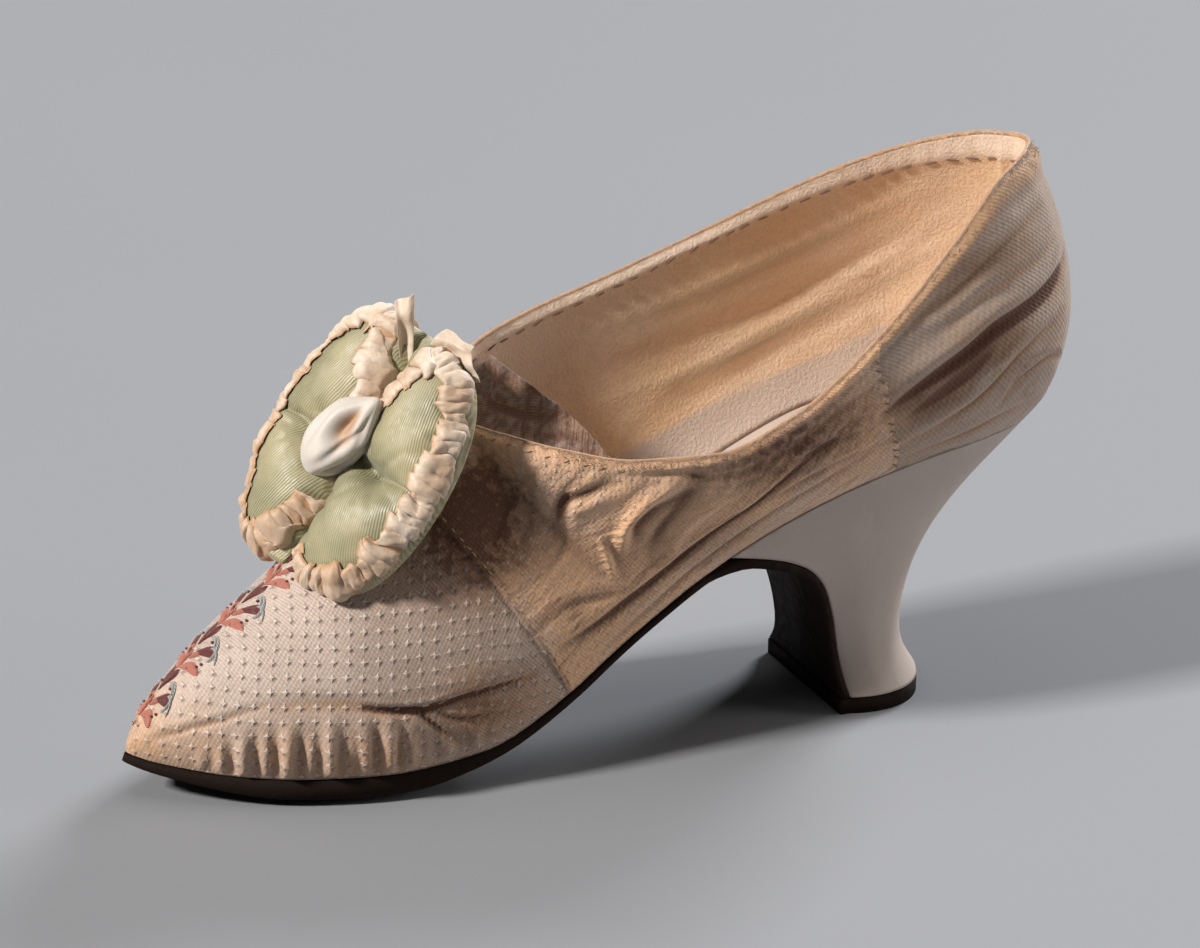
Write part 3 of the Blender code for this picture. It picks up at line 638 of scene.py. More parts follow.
class Graph:
    """Adds nodes to a tree. A socket takes a constant or another node's output."""

    def __init__(self, tree):
        self.tree = tree

    def add(self, kind, sockets=None, **settings):
        made = self.tree.nodes.new(kind)
        for name, value in settings.items():
            setattr(made, name, value)
        return self.fill(made, sockets or {})

    def fill(self, made, sockets):
        for key, value in sockets.items():
            if isinstance(value, bpy.types.NodeSocket):
                self.tree.links.new(value, made.inputs[key])
            else:
                made.inputs[key].default_value = value
        return made

    def math(self, operation, *values):
        return self.add("ShaderNodeMath", dict(enumerate(values)), operation=operation).outputs[0]

    def times(self, first, second):
        return self.math("MULTIPLY", first, second)

    def line(self, value, slope, start):
        return self.math("MULTIPLY_ADD", value, slope, start)

    def vector(self, operation, *values, scale=None):
        sockets = dict(enumerate(values))
        if scale is not None:
            sockets["Scale"] = scale
        return self.add("ShaderNodeVectorMath", sockets, operation=operation).outputs[0]

    def mix(self, factor, first, second, way="MIX"):
        sockets = {0: factor, 6: rgba(first), 7: rgba(second)}
        return self.add("ShaderNodeMix", sockets, data_type="RGBA", blend_type=way).outputs[2]

    def noise(self, place, scale, detail=3.0):
        sockets = {"Vector": place, "Scale": scale, "Detail": detail}
        return self.add("ShaderNodeTexNoise", sockets).outputs[0]

    def step(self, value, low, high):
        sockets = {0: value, 1: low, 2: high, 3: 0.0, 4: 1.0}
        return self.add("ShaderNodeMapRange", sockets, interpolation_type="SMOOTHSTEP").outputs[0]

    def value(self, name):
        return self.add("ShaderNodeAttribute", attribute_name=name).outputs["Fac"]

    def places(self, name):
        return self.add("ShaderNodeAttribute", attribute_name=name).outputs["Vector"]

    def object_places(self):
        return self.add("ShaderNodeTexCoord").outputs["Object"]

    def bump(self, height, strength, distance):
        sockets = {"Height": height, "Strength": strength, "Distance": distance}
        return self.add("ShaderNodeBump", sockets).outputs[0]

    def group(self, tree, sockets):
        return self.fill(self.add("ShaderNodeGroup", node_tree=tree), sockets).outputs


def rgba(value):
    is_colour = not isinstance(value, bpy.types.NodeSocket) and len(value) == 3
    return (*value, 1.0) if is_colour else value


def effect(name, inputs, outputs, build):
    """A node group that several materials share, built once."""
    if name in bpy.data.node_groups:
        return bpy.data.node_groups[name]
    tree = bpy.data.node_groups.new(name, "ShaderNodeTree")
    for socket, kind in inputs.items():
        tree.interface.new_socket(name=socket, in_out="INPUT", socket_type=kind)
    for socket, kind in outputs.items():
        tree.interface.new_socket(name=socket, in_out="OUTPUT", socket_type=kind)
    graph = Graph(tree)
    results = build(graph, tree.nodes.new("NodeGroupInput").outputs)
    last = tree.nodes.new("NodeGroupOutput")
    for socket, result in results.items():
        tree.links.new(result, last.inputs[socket])
    return tree


FLOAT = "NodeSocketFloat"
VECTOR = "NodeSocketVector"


def woven_stars():
    """Small four-pointed stars in a square grid, and the shade below each."""

    def build(graph, given):
        sockets = {"Vector": given["Fabric"], "Scale": 0.09}
        drift = graph.add("ShaderNodeTexNoise", sockets).outputs[1]
        fabric = graph.vector("ADD", given["Fabric"], graph.vector("SCALE", drift, scale=2.2))
        uneven = graph.line(graph.noise(given["Fabric"], 1.3), 0.9, 0.6)

        def star(place):
            even = graph.vector("SCALE", place, scale=graph.math("DIVIDE", 1.0, given["Pitch"]))
            cell = graph.vector("SUBTRACT", graph.vector("FRACTION", even), (0.5, 0.5, 0.5))
            parts = graph.add("ShaderNodeSeparateXYZ", {0: graph.vector("ABSOLUTE", cell)}).outputs
            longer = graph.math("MAXIMUM", parts[0], parts[1])
            shorter = graph.math("MINIMUM", parts[0], parts[1])
            away = graph.times(graph.line(shorter, 1.4, longer), given["Pitch"])
            away = graph.math("DIVIDE", graph.times(away, uneven), given["Reach"])
            return graph.step(away, 1.0, 0.25)

        lit = star(fabric)
        aside = graph.vector("SCALE", (-0.36, 0.36, 0.0), scale=given["Reach"])
        shade = graph.math("SUBTRACT", star(graph.vector("ADD", fabric, aside)), lit)
        return {"Mask": lit, "Shade": graph.math("MAXIMUM", shade, 0.0)}

    inputs = {"Fabric": VECTOR, "Pitch": FLOAT, "Reach": FLOAT}
    return effect("Woven stars", inputs, {"Mask": FLOAT, "Shade": FLOAT}, build)


def drawn_wrinkles():
    """Fine wrinkles drawn out in one direction, between 0 and 1."""

    def build(graph, given):
        sockets = {"Vector": given["Fabric"], "Axis": (0.0, 0.0, 1.0), "Angle": given["Turn"]}
        turned = graph.add("ShaderNodeVectorRotate", sockets).outputs[0]
        drawn = graph.vector("MULTIPLY", turned, (0.085, 0.40, 0.0))
        return {"Height": graph.noise(drawn, 1.0, 5.0)}

    return effect("Drawn wrinkles", {"Fabric": VECTOR, "Turn": FLOAT}, {"Height": FLOAT}, build)


def fine_weave():
    """Crossing threads, as a height between 0 and 1."""

    def build(graph, given):
        fineness = graph.math("DIVIDE", 2 * math.pi, given["Pitch"])
        turns = graph.vector("SCALE", given["Fabric"], scale=fineness)
        parts = graph.add("ShaderNodeSeparateXYZ", {0: turns}).outputs
        rising = graph.math("SINE", graph.math("ADD", parts[0], parts[1]))
        falling = graph.math("SINE", graph.line(parts[1], -0.5, parts[0]))
        crossing = graph.math("ADD", rising, graph.times(falling, 0.6))
        return {"Height": graph.line(crossing, 0.3, 0.5)}

    return effect("Fine weave", {"Fabric": VECTOR, "Pitch": FLOAT}, {"Height": FLOAT}, build)


def uneven_age():
    """Large and small patches, each between 0 and 1."""

    def build(graph, given):
        large = graph.step(graph.noise(given["Place"], given["Scale"], 4.0), 0.36, 0.66)
        fine_scale = graph.times(given["Scale"], 7.0)
        small = graph.step(graph.noise(given["Place"], fine_scale, 5.0), 0.34, 0.68)
        return {"Patches": large, "Specks": small}

    inputs = {"Place": VECTOR, "Scale": FLOAT}
    return effect("Uneven age", inputs, {"Patches": FLOAT, "Specks": FLOAT}, build)


def leather_grain():
    """Pebbled leather, as a height and as a mask of its scuffs."""

    def build(graph, given):
        cells = graph.add("ShaderNodeTexVoronoi", {"Vector": given["Place"], "Scale": given["Scale"]})
        soft = graph.noise(given["Place"], graph.times(given["Scale"], 0.4), 4.0)
        height = graph.line(cells.outputs["Distance"], 0.6, soft)
        stretched = graph.vector("MULTIPLY", given["Place"], (1.0, 1.0, 0.22))
        scuffs = graph.noise(stretched, graph.times(given["Scale"], 0.10), 6.0)
        return {"Height": height, "Scuffs": graph.step(scuffs, 0.58, 0.72)}

    inputs = {"Place": VECTOR, "Scale": FLOAT}
    return effect("Leather grain", inputs, {"Height": FLOAT, "Scuffs": FLOAT}, build)


def new_material(name):
    """A material with its graph and its Principled shader."""
    material = bpy.data.materials.new(name)
    material.use_nodes = True
    return material, Graph(material.node_tree), material.node_tree.nodes["Principled BSDF"]


def set_look(graph, shader, links, **values):
    """Links what varies and sets what is constant on a Principled shader."""
    for name, value in links.items():
        graph.tree.links.new(value, shader.inputs[name])
    for name, value in values.items():
        socket = name.replace("_", " ").title().replace("Ior", "IOR")
        shader.inputs[socket].default_value = value


# Materials


# How each panel's silk looks: how clear its stars are, how golden it is all over, the
# pitch of its twill in millimetres, its stars' pitch as a share of the vamp's, the way
# that its wrinkles run in degrees, how strong they are, with the painted shade in their
# hollows, and a brightness factor for its colour, which on the quarter is partly its own
# lighter tone and partly painted light
Weave = namedtuple("Weave", "stars gold twill fineness turn wrinkles bright")
WEAVES = {
    "vamp": Weave(1.0, 0.05, 1.1, 1.0, 20, 0.30, 1.0),
    "quarter": Weave(0.75, 0.55, 1.2, 0.69, -38, 1.0, 1.30),
    "back quarter": Weave(0.0, 0.26, 1.5, 1.0, -30, 0.35, 0.84),
    "edge": Weave(0.0, 0.30, 1.0, 1.0, -35, 0.4, 1.0),
    "tongue": Weave(0.0, 0.0, 0.8, 1.0, -60, 2.0, 1.0),
}


def silk_material(panel):
    """Figured silk: woven stars, wrinkles, gold and dirt where it has worn, painted shade in its folds,
    hollows and below its stars, and painted shadow under the bow.
    """
    sizes, colours = bpy.context.scene.shoe_sizes, bpy.context.scene.shoe_colours
    look = WEAVES[panel]
    material, graph, shader = new_material(f"{panel} silk")
    silk = [look.bright * c for c in colours.silk]
    yellowed = [look.bright * c for c in colours.gold]
    # Brown for the painted shade in the folds' shallow troughs.
    brown = [0.70 * c for c in colours.gold]
    fabric = graph.places("fabric")
    place = graph.object_places()
    age = graph.group(uneven_age(), {"Place": place, "Scale": 70.0})
    turned = {"Vector": fabric, "Axis": (0.0, 0.0, 1.0), "Angle": 0.6 if look.fineness < 1 else 0.0}
    turned = graph.add("ShaderNodeVectorRotate", turned).outputs[0]
    grid = {"Fabric": turned, "Pitch": sizes.star_pitch / MM * look.fineness}
    grid["Reach"] = sizes.star_reach / MM * look.fineness
    woven = graph.group(woven_stars(), grid)
    clear = graph.times(graph.value("stars"), look.stars)
    stars = graph.times(woven["Mask"], clear)
    shade = graph.times(woven["Shade"], clear)
    weave = graph.group(fine_weave(), {"Fabric": fabric, "Pitch": look.twill})["Height"]
    drawn = {"Fabric": fabric, "Turn": math.radians(look.turn)}
    wrinkle = graph.group(drawn_wrinkles(), drawn)["Height"]
    dull = [0.80 * c for c in silk]
    ground = graph.mix(graph.times(age["Patches"], 0.55), silk, dull)
    gold = graph.math("ADD", graph.value("gold"), look.gold)
    gold = graph.times(gold, graph.line(age["Patches"], 0.6, 0.6))
    golden = graph.mix(graph.math("MINIMUM", gold, 1.0), ground, yellowed)
    bare = graph.mix(graph.times(graph.value("bare"), age["Specks"]), golden, colours.bare)
    soil = graph.times(graph.value("soil"), graph.line(age["Specks"], 0.36, 0.68))
    # Painted shade: the folds' shallow troughs turn brown, and deeper troughs and the wrinkles' hollows
    # take the colour of dirt and shade, partly dirt and partly painted shade.
    trough_shaded = graph.times(graph.step(graph.value("fold"), 0.0, -0.5), 0.7)
    trough_shaded = graph.mix(trough_shaded, bare, brown)
    trough = graph.times(graph.step(graph.value("fold"), -0.30, -1.0), 0.92)
    # Painted shade in the wrinkles' hollows.
    patchy = graph.line(age["Patches"], 0.65, 0.20)
    hollow = graph.times(graph.step(wrinkle, 0.48, 0.30), patchy)
    hollow = graph.times(hollow, 0.8 * look.wrinkles)
    soil = graph.math("MAXIMUM", soil, graph.math("MAXIMUM", trough, hollow))
    soiled_and_shaded = graph.mix(graph.math("MINIMUM", soil, 0.94), trough_shaded, colours.soil)
    starred = graph.times(stars, graph.line(soil, -0.7, 0.85))
    starred = graph.mix(starred, soiled_and_shaded, colours.star)
    shade = graph.times(shade, 0.75 * look.fineness**3)
    starred = graph.mix(shade, starred, (0.42, 0.34, 0.30), "MULTIPLY")
    threads = graph.mix(weave, (0.25, 0.22, 0.2), (1.0, 1.0, 1.0))
    threads = graph.mix(0.22, starred, threads, "MULTIPLY")
    specks = graph.step(graph.noise(place, 1500.0, 4.0), 0.40, 0.62)
    threads = graph.mix(graph.times(specks, 0.30), threads, (0.55, 0.50, 0.46), "MULTIPLY")
    height = graph.line(stars, 1.6, graph.times(weave, 0.40))
    height = graph.line(wrinkle, 5.0 * look.wrinkles, height)
    links = {
        "Base Color": threads,
        "Normal": graph.bump(height, 0.70, 0.00032),
        "Roughness": graph.line(graph.math("MINIMUM", soil, 1.0), 0.25, 0.52),
    }
    set_look(graph, shader, links, sheen_weight=0.25, sheen_roughness=0.4, specular_ior_level=0.4)
    return material


def lining_material():
    """Soft leather, golden brown, paler where it is rubbed, with painted shade in its folds and a paler
    front that is partly painted light.
    """
    colours = bpy.context.scene.shoe_colours
    material, graph, shader = new_material("lining leather")
    place = graph.object_places()
    age = graph.group(uneven_age(), {"Place": place, "Scale": 45.0})
    grain = graph.group(leather_grain(), {"Place": place, "Scale": 1700.0})
    pale = [0.7 * c + 0.24 for c in colours.lining]
    dark = [0.50 * c for c in colours.lining]
    base = graph.mix(graph.times(age["Patches"], 0.45), colours.lining, pale)
    nap = graph.times(age["Specks"], graph.step(graph.value("stars"), -0.2, 0.8))
    base = graph.mix(graph.times(nap, 0.45), base, dark)
    fuzz = graph.step(graph.noise(place, 1300.0, 4.0), 0.42, 0.62)
    base = graph.mix(graph.times(fuzz, 0.16), base, dark)
    # Painted shade in the lining's folds and in the dimples between the binding's stitches.
    trough = graph.step(graph.value("fold"), -0.1, -0.9)
    base = graph.mix(graph.times(trough, 0.55), base, dark)
    # Paler front on the inner side and paler binding; the front's paleness is partly painted light,
    # partly a paler leather.
    base = graph.mix(graph.value("stars"), base, (0.86, 0.71, 0.60))
    base = graph.mix(graph.value("bare"), base, colours.insole)
    height = graph.math("ADD", fuzz, grain["Height"])
    links = {"Base Color": base, "Normal": graph.bump(height, 0.40, 0.00018)}
    set_look(graph, shader, links, roughness=0.60, specular_ior_level=0.35)
    return material


# How each leather looks: its colour, its scuffs' colour and share, the fineness of its
# grain and how deep it is, its roughness and its gloss
Leather = namedtuple("Leather", "tint scuff scuff_share scale depth roughness gloss")


def leather_material(name, look):
    """Leather with fine grain and scuffs."""
    material, graph, shader = new_material(name)
    place = graph.object_places()
    age = graph.group(uneven_age(), {"Place": place, "Scale": 60.0})
    grain = graph.group(leather_grain(), {"Place": place, "Scale": look.scale})
    base = graph.mix(graph.times(age["Patches"], 0.35), look.tint, [0.82 * c for c in look.tint])
    base = graph.mix(graph.times(grain["Scuffs"], look.scuff_share), base, look.scuff)
    links = {
        "Base Color": base,
        "Normal": graph.bump(grain["Height"], 0.35, look.depth),
        "Roughness": graph.line(age["Specks"], 0.16, look.roughness),
    }
    set_look(graph, shader, links, specular_ior_level=look.gloss)
    return material


def thread_material(name, tint):
    """Twisted thread with a silky gloss."""
    material, graph, shader = new_material(name)
    place = graph.object_places()
    strands = graph.noise(graph.vector("MULTIPLY", place, (1.0, 1.6, 0.6)), 2600.0, 2.0)
    base = graph.mix(strands, [c * 0.55 for c in tint], [min(1.0, c * 1.35) for c in tint])
    links = {"Base Color": base, "Normal": graph.bump(strands, 0.6, 0.00015)}
    set_look(graph, shader, links, roughness=0.5, sheen_weight=0.3)
    return material


def satin_stitch_material(name, tint):
    """Embroidery: threads laid side by side across each leaf."""
    material, graph, shader = new_material(name)
    across = graph.add("ShaderNodeSeparateXYZ", {0: graph.places("fabric")}).outputs
    aslant = graph.math("ADD", across[0], across[1])
    lines = graph.math("SINE", graph.times(aslant, 2 * math.pi / 0.42))
    lines = graph.line(lines, 0.5, 0.5)
    uneven = graph.noise(graph.object_places(), 900.0)
    base = graph.mix(lines, [c * 0.6 for c in tint], [min(1.0, c * 1.25) for c in tint])
    faded = [c * 0.6 + 0.12 for c in tint]
    base = graph.mix(graph.times(graph.step(uneven, 0.5, 0.7), 0.35), base, faded)
    links = {"Base Color": base, "Normal": graph.bump(lines, 0.7, 0.00018)}
    set_look(graph, shader, links, roughness=0.42, sheen_weight=0.3)
    return material


def ribbed_silk_material(name, tint):
    """Ribbed silk with a soft sheen, faded to straw where it is rubbed."""
    material, graph, shader = new_material(name)
    place = graph.object_places()
    fabric = graph.add("ShaderNodeSeparateXYZ", {0: graph.places("fabric")}).outputs
    drift = graph.times(graph.noise(place, 90.0), 1.6)
    across = graph.math("ADD", graph.line(fabric[0], 0.30, fabric[1]), drift)
    ribs = graph.math("SINE", graph.times(across, 2 * math.pi / 0.64))
    ribs = graph.line(ribs, 0.5, 0.5)
    age = graph.group(uneven_age(), {"Place": place, "Scale": 75.0})
    straw = (0.56, 0.47, 0.25)
    base = graph.mix(graph.times(age["Patches"], 0.38), tint, straw)
    base = graph.mix(graph.times(age["Specks"], 0.18), base, [c * 1.4 for c in tint])
    base = graph.mix(graph.times(ribs, 0.62), base, (0.47, 0.395, 0.28))
    links = {
        "Base Color": base,
        "Normal": graph.bump(ribs, 0.35, 0.00016),
        "Roughness": graph.line(age["Specks"], 0.15, 0.40),
    }
    set_look(graph, shader, links, sheen_weight=0.30, sheen_roughness=0.35, anisotropic=0.4)
    return material


def ribbon_material(name, tint, tan_share, crinkled):
    """Plain-woven ribbon, tan in patches where it has grown old, and with painted shade in tan in its
    folds and in its crinkles' creases.
    """
    material, graph, shader = new_material(name)
    place = graph.object_places()
    age = graph.group(uneven_age(), {"Place": place, "Scale": 110.0})
    threads = graph.vector("SCALE", place, scale=1000.0)
    weave = graph.group(fine_weave(), {"Fabric": threads, "Pitch": 0.45})["Height"]
    tan = (0.40, 0.215, 0.095)
    base = graph.mix(graph.times(age["Patches"], tan_share), tint, tan)
    base = graph.mix(graph.times(age["Specks"], 0.12), base, [c * 0.7 for c in tint])
    # Painted shade: tan where the fold value is low, in the pleats' valleys and the knot's dents.
    base = graph.mix(graph.times(graph.step(graph.value("fold"), -0.2, -1.9), 0.85), base, tan)
    crinkle = graph.math("ABSOLUTE", graph.math("SUBTRACT", graph.noise(place, 300.0, 1.5), 0.5))
    # The crinkles' creases are darkened to tan: painted shade.
    base = graph.mix(graph.times(graph.step(crinkle, 0.03, 0.0), 0.2 * crinkled), base, tan)
    height = graph.line(crinkle, crinkled, graph.times(weave, 0.05))
    links = {"Base Color": base, "Normal": graph.bump(height, 0.50, 0.00060)}
    set_look(graph, shader, links, roughness=0.55, sheen_weight=0.3, subsurface_weight=0.05)
    shader.inputs["Subsurface Radius"].default_value = (0.002, 0.0015, 0.001)
    return material


def floor_material():
    material, graph, shader = new_material("floor paper")
    tint = bpy.context.scene.shoe_stage.floor
    place = graph.object_places()
    soft = graph.noise(place, 3.0, 2.0)
    base = graph.mix(soft, [c * 0.97 for c in tint], [c * 1.03 for c in tint])
    set_look(graph, shader, {"Base Color": base}, roughness=0.7, specular_ior_level=0.25)
    return material


# Pieces


PANELS = ("vamp", "quarter", "back quarter", "lining", "edge")
VAMP, QUARTER, BACK_QUARTER, LINING, EDGE = range(len(PANELS))
# How high the collar's roll stands, and how far its stitches pucker the folded edge,
# in millimetres
COLLAR_ROLL = 0.80
EDGE_PUCKER = 0.40


LOOK_VALUES = ("fold", "gold", "soil", "bare", "stars")


def look_layers(bm):
    """Layers for the values that the silk's and the lining's looks use."""
    layers = {name: bm.verts.layers.float.new(name) for name in LOOK_VALUES}
    layers["fabric"] = bm.verts.layers.float_vector.new("fabric")
    return layers


def side_seam(t):
    """The rib number at which the side seam lies, at a share of the way up."""
    return SIDE_SEAM[0] + (SIDE_SEAM[1] - SIDE_SEAM[0]) * t


def seam_step(ribs, ts):
    """How far the quarters stand over the vamp, less at the sole's edge, in metres."""
    return bpy.context.scene.shoe_sizes.seam_step * (ribs >= SEAM_RIB) * np.minimum(1.0, ts / 0.1)


def silk_panel(rib, t):
    """Which panel a place on the outside belongs to."""
    if rib < SEAM_RIB:
        return VAMP
    return QUARTER if rib < side_seam(t) else BACK_QUARTER


def near_collar(ribs, ts):
    return smooth(0.93, 1.0, ts) * smooth(THROAT_RIB - 0.3, THROAT_RIB + 0.2, ribs)


def silk_sheet(ribs, ts, side):
    """Places on the outside of the upper, with the values that its silk's looks use."""
    relief, folds = silk_relief(ribs, ts, side)
    along, up = FABRIC[side](ribs, ts)
    step = seam_step(ribs, ts)
    collar = near_collar(ribs, ts)
    roll = bell(ts - 0.965, 0.026) - 0.5 * bell(ts - 0.915, 0.018)
    roll = roll * smooth(11.2, 12.6, ribs) * (0.8 + 0.45 * soft_waves(along, up, 4.5, 12))
    outwards = step * (1 - 0.6 * collar) + relief * MM * (1 - 0.7 * collar) + COLLAR_ROLL * MM * roll
    places = rib_points(ribs, ts, side) + rib_normals(ribs, ts, side) * outwards[..., None]
    gold, soil, bare = blot_masks(ribs, ts, side)
    quarters = smooth(THROAT_RIB, THROAT_RIB + 0.6, ribs)
    rim = smooth(0.90, 1.0, ts) * quarters
    tan = smooth(0.935, 0.955, ts) * quarters
    tan = tan * (0.35 + 0.65 * smooth(13.8, 15.2, ribs))
    soil = np.maximum(soil, 0.55 * rim) * (1 - 0.9 * tan)
    gold = np.maximum(gold, np.maximum(0.85 * rim, 1.2 * tan))
    return places, {
        "fabric": np.stack([along, up, np.zeros_like(along)], axis=-1),
        "fold": folds,
        "gold": gold,
        "soil": np.maximum(soil, 0.6 * bell(ribs - SEAM_RIB - 0.03, 0.05)),
        "bare": bare,
        "stars": (1 - 0.45 * smooth(11.0, 14.0, ribs)) * (1 - 0.35 * gold) * (1 - bare),
    }


def lining_sheet(ribs, ts, side):
    """Places on the inside of the upper, with the values that its leather's looks use."""
    sizes = bpy.context.scene.shoe_sizes
    along, up = FABRIC[side](ribs, ts)
    folds = fold_relief(LINING_FOLDS, ribs, ts, side)
    unevenness = folds + 0.25 * soft_waves(along, up, 18.0, 8)
    clear = smooth(0.08, 0.2, ts) * (1 - smooth(0.9, 1.0, ts)) * smooth(11.2, 12.0, ribs)
    share = np.clip((ts - BINDING_FOOT) / (1 - BINDING_FOOT), 0.0, 1.0)
    bound = smooth(10.6, 11.4, ribs)
    pucker = 0.45 + 0.55 * np.abs(np.sin(math.pi * along / (STITCH_SPACING / MM)))
    puff = np.sin(math.pi * share**0.8) * pucker * bound
    pressed = np.maximum(0.0, -0.5 - silk_relief(ribs, ts, side)[0])
    inwards = sizes.wall * (1 - 0.45 * near_collar(ribs, ts)) - 0.6 * MM * unevenness * clear
    inwards = inwards + (EDGE_PUCKER * puff + pressed) * MM
    places = rib_points(ribs, ts, side) - rib_normals(ribs, ts, side) * inwards[..., None]
    sock = hermite(*SOCK_EDGE, np.clip(ribs, SOCK_EDGE[0][0], SOCK_EDGE[0][-1]), True)
    # Paler lining towards the front of the inner side: partly a paler leather, partly painted light
    # where the bow's shadow falls on it.
    pale = (1 - smooth(11.0, 14.2, ribs)) * (side == INNER) * smooth(0.45, 0.75, ts)
    return places, {
        "fabric": np.stack([along, up, np.zeros_like(along)], axis=-1),
        # Lowered between the binding's stitches, so that the lining's colour puts painted shade in those
        # dimples.
        "fold": folds - 0.5 * (1 - pucker) * (share > 0),
        "gold": 0.15 + 0.55 * smooth(12.0, 16.5, ribs),
        "soil": np.full_like(ribs, 0.12),
        "bare": 1 - smooth(-0.012, 0.012, ts - sock),
        "stars": np.maximum(0.95 * pale, 0.6 * (share > 0) * bound),
    }


def rim_sheet(start, stop):
    """Places round the collar's edge, from the outside to the inside."""
    middle = (start + stop) / 2
    bulge = np.array([0, 0, 1.0]) * np.linalg.norm(start - stop, axis=-1, keepdims=True) / 2
    turn = np.linspace(0.0, math.pi, RIM_ROWS + 1)
    places = [middle + (start - middle) * math.cos(a) + bulge * math.sin(a) for a in turn]
    places = np.stack(places, axis=1)
    return places, {"gold": np.full(places.shape[:2], 0.9), "soil": np.full(places.shape[:2], 0.4)}


def make_upper():
    """The vamp, quarters, lining, collar edge and lasting edge as one closed wall."""
    ribs = np.linspace(0.0, LAST_RIB, LAST_RIB * COLUMNS_PER_RIB + 1)
    ribs = np.sort(np.append(ribs, [SEAM_RIB - 0.012, SEAM_RIB + 0.012]))[:, None]
    outer_ts = np.linspace(0.0, 1.0, ROWS_UP + 1)[None, :]
    inner_ts = np.linspace(0.0, BINDING_FOOT, LINING_ROWS + 1)
    inner_ts = np.append(inner_ts, np.linspace(BINDING_FOOT, 1.0, BINDING_ROWS + 1)[1:])[None, :]
    throat = int(np.searchsorted(ribs[:, 0], THROAT_RIB))
    bm = bmesh.new()
    layer = look_layers(bm)

    def add_sheet(places, values, panel):
        full = {
            layer[name]: np.broadcast_to(value, places.shape[:2] + value.shape[2:])
            for name, value in values.items()
        }
        grid_sheet(bm, places, full, panel)

    for side in (OUTER, INNER):
        outer, values = silk_sheet(ribs, outer_ts, side)
        add_sheet(outer, values, lambda i, j: silk_panel(ribs[i, 0], outer_ts[0, j]))
        inner, values = lining_sheet(ribs, inner_ts, side)
        add_sheet(inner, values, lambda i, j: LINING)
        add_sheet(*rim_sheet(outer[throat:, -1], inner[throat:, -1]), lambda i, j: EDGE)
        add_sheet(np.stack([outer[:, 0], inner[:, 0]], axis=1), {}, lambda i, j: EDGE)
    weld(bm)
    bmesh.ops.recalc_face_normals(bm, faces=bm.faces)
    materials = [lining_material() if panel == "lining" else silk_material(panel) for panel in PANELS]
    upper = new_piece("silk_upper", bm, *materials)
    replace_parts(upper, "upper")


def surface_points(ribs, ts, side, outwards):
    """Places and normals on the dressed silk."""
    ribs, ts = np.broadcast_arrays(np.asarray(ribs, float), np.asarray(ts, float))
    relief, _ = silk_relief(ribs, ts, side)
    outwards = seam_step(ribs, ts) + relief * MM + outwards
    normals = rib_normals(ribs, ts, side)
    return rib_points(ribs, ts, side) + normals * outwards[..., None], normals


def stitch_line(bm, places, normals, spacing, long, thick, slant, seed):
    """Stitches along a line of places, a little uneven."""
    rng = np.random.default_rng(seed)
    lengths = run_along(places)
    for at in np.arange(spacing / 2, lengths[-1], spacing):
        at = at + rng.normal(0.0, 0.10 * spacing)
        middle = Vector([np.interp(at, lengths, places[:, k]) for k in range(3)])
        ahead = Vector([np.interp(at + 0.0005, lengths, places[:, k]) for k in range(3)]) - middle
        normal = Vector([np.interp(at, lengths, normals[:, k]) for k in range(3)]).normalized()
        if ahead.length < 1e-7:
            continue
        direction = (ahead - normal * ahead.dot(normal)).normalized()
        turn = Matrix.Rotation(slant + rng.normal(0.0, 0.12), 3, normal)
        add_stitch(bm, middle, turn @ direction, normal, long * rng.uniform(0.8, 1.15), thick)


# How many frayed ends each side of the collar has, and how thick they are
FIBRES = 260
FIBRE_THICKNESS = 0.00013


def add_fibres(bm, ribs, side, seed):
    """Frayed ends of thread along the collar's edge."""
    rng = np.random.default_rng(seed)
    at = rng.uniform(ribs[0] + 1.5, ribs[-1], FIBRES)
    places, normals = surface_points(at, rng.uniform(0.955, 1.0, FIBRES), side, 0.0003)
    for place, normal in zip(places, normals):
        ways = rng.normal(0.0, 1.0, 3) + np.array([0.0, 0.0, 0.8])
        direction = Vector(ways).normalized()
        facing = Vector(normal)
        facing = (facing - direction * facing.dot(direction)).normalized()
        long = rng.uniform(0.7, 1.9) * MM
        add_stitch(bm, Vector(place), direction, facing, long, FIBRE_THICKNESS)


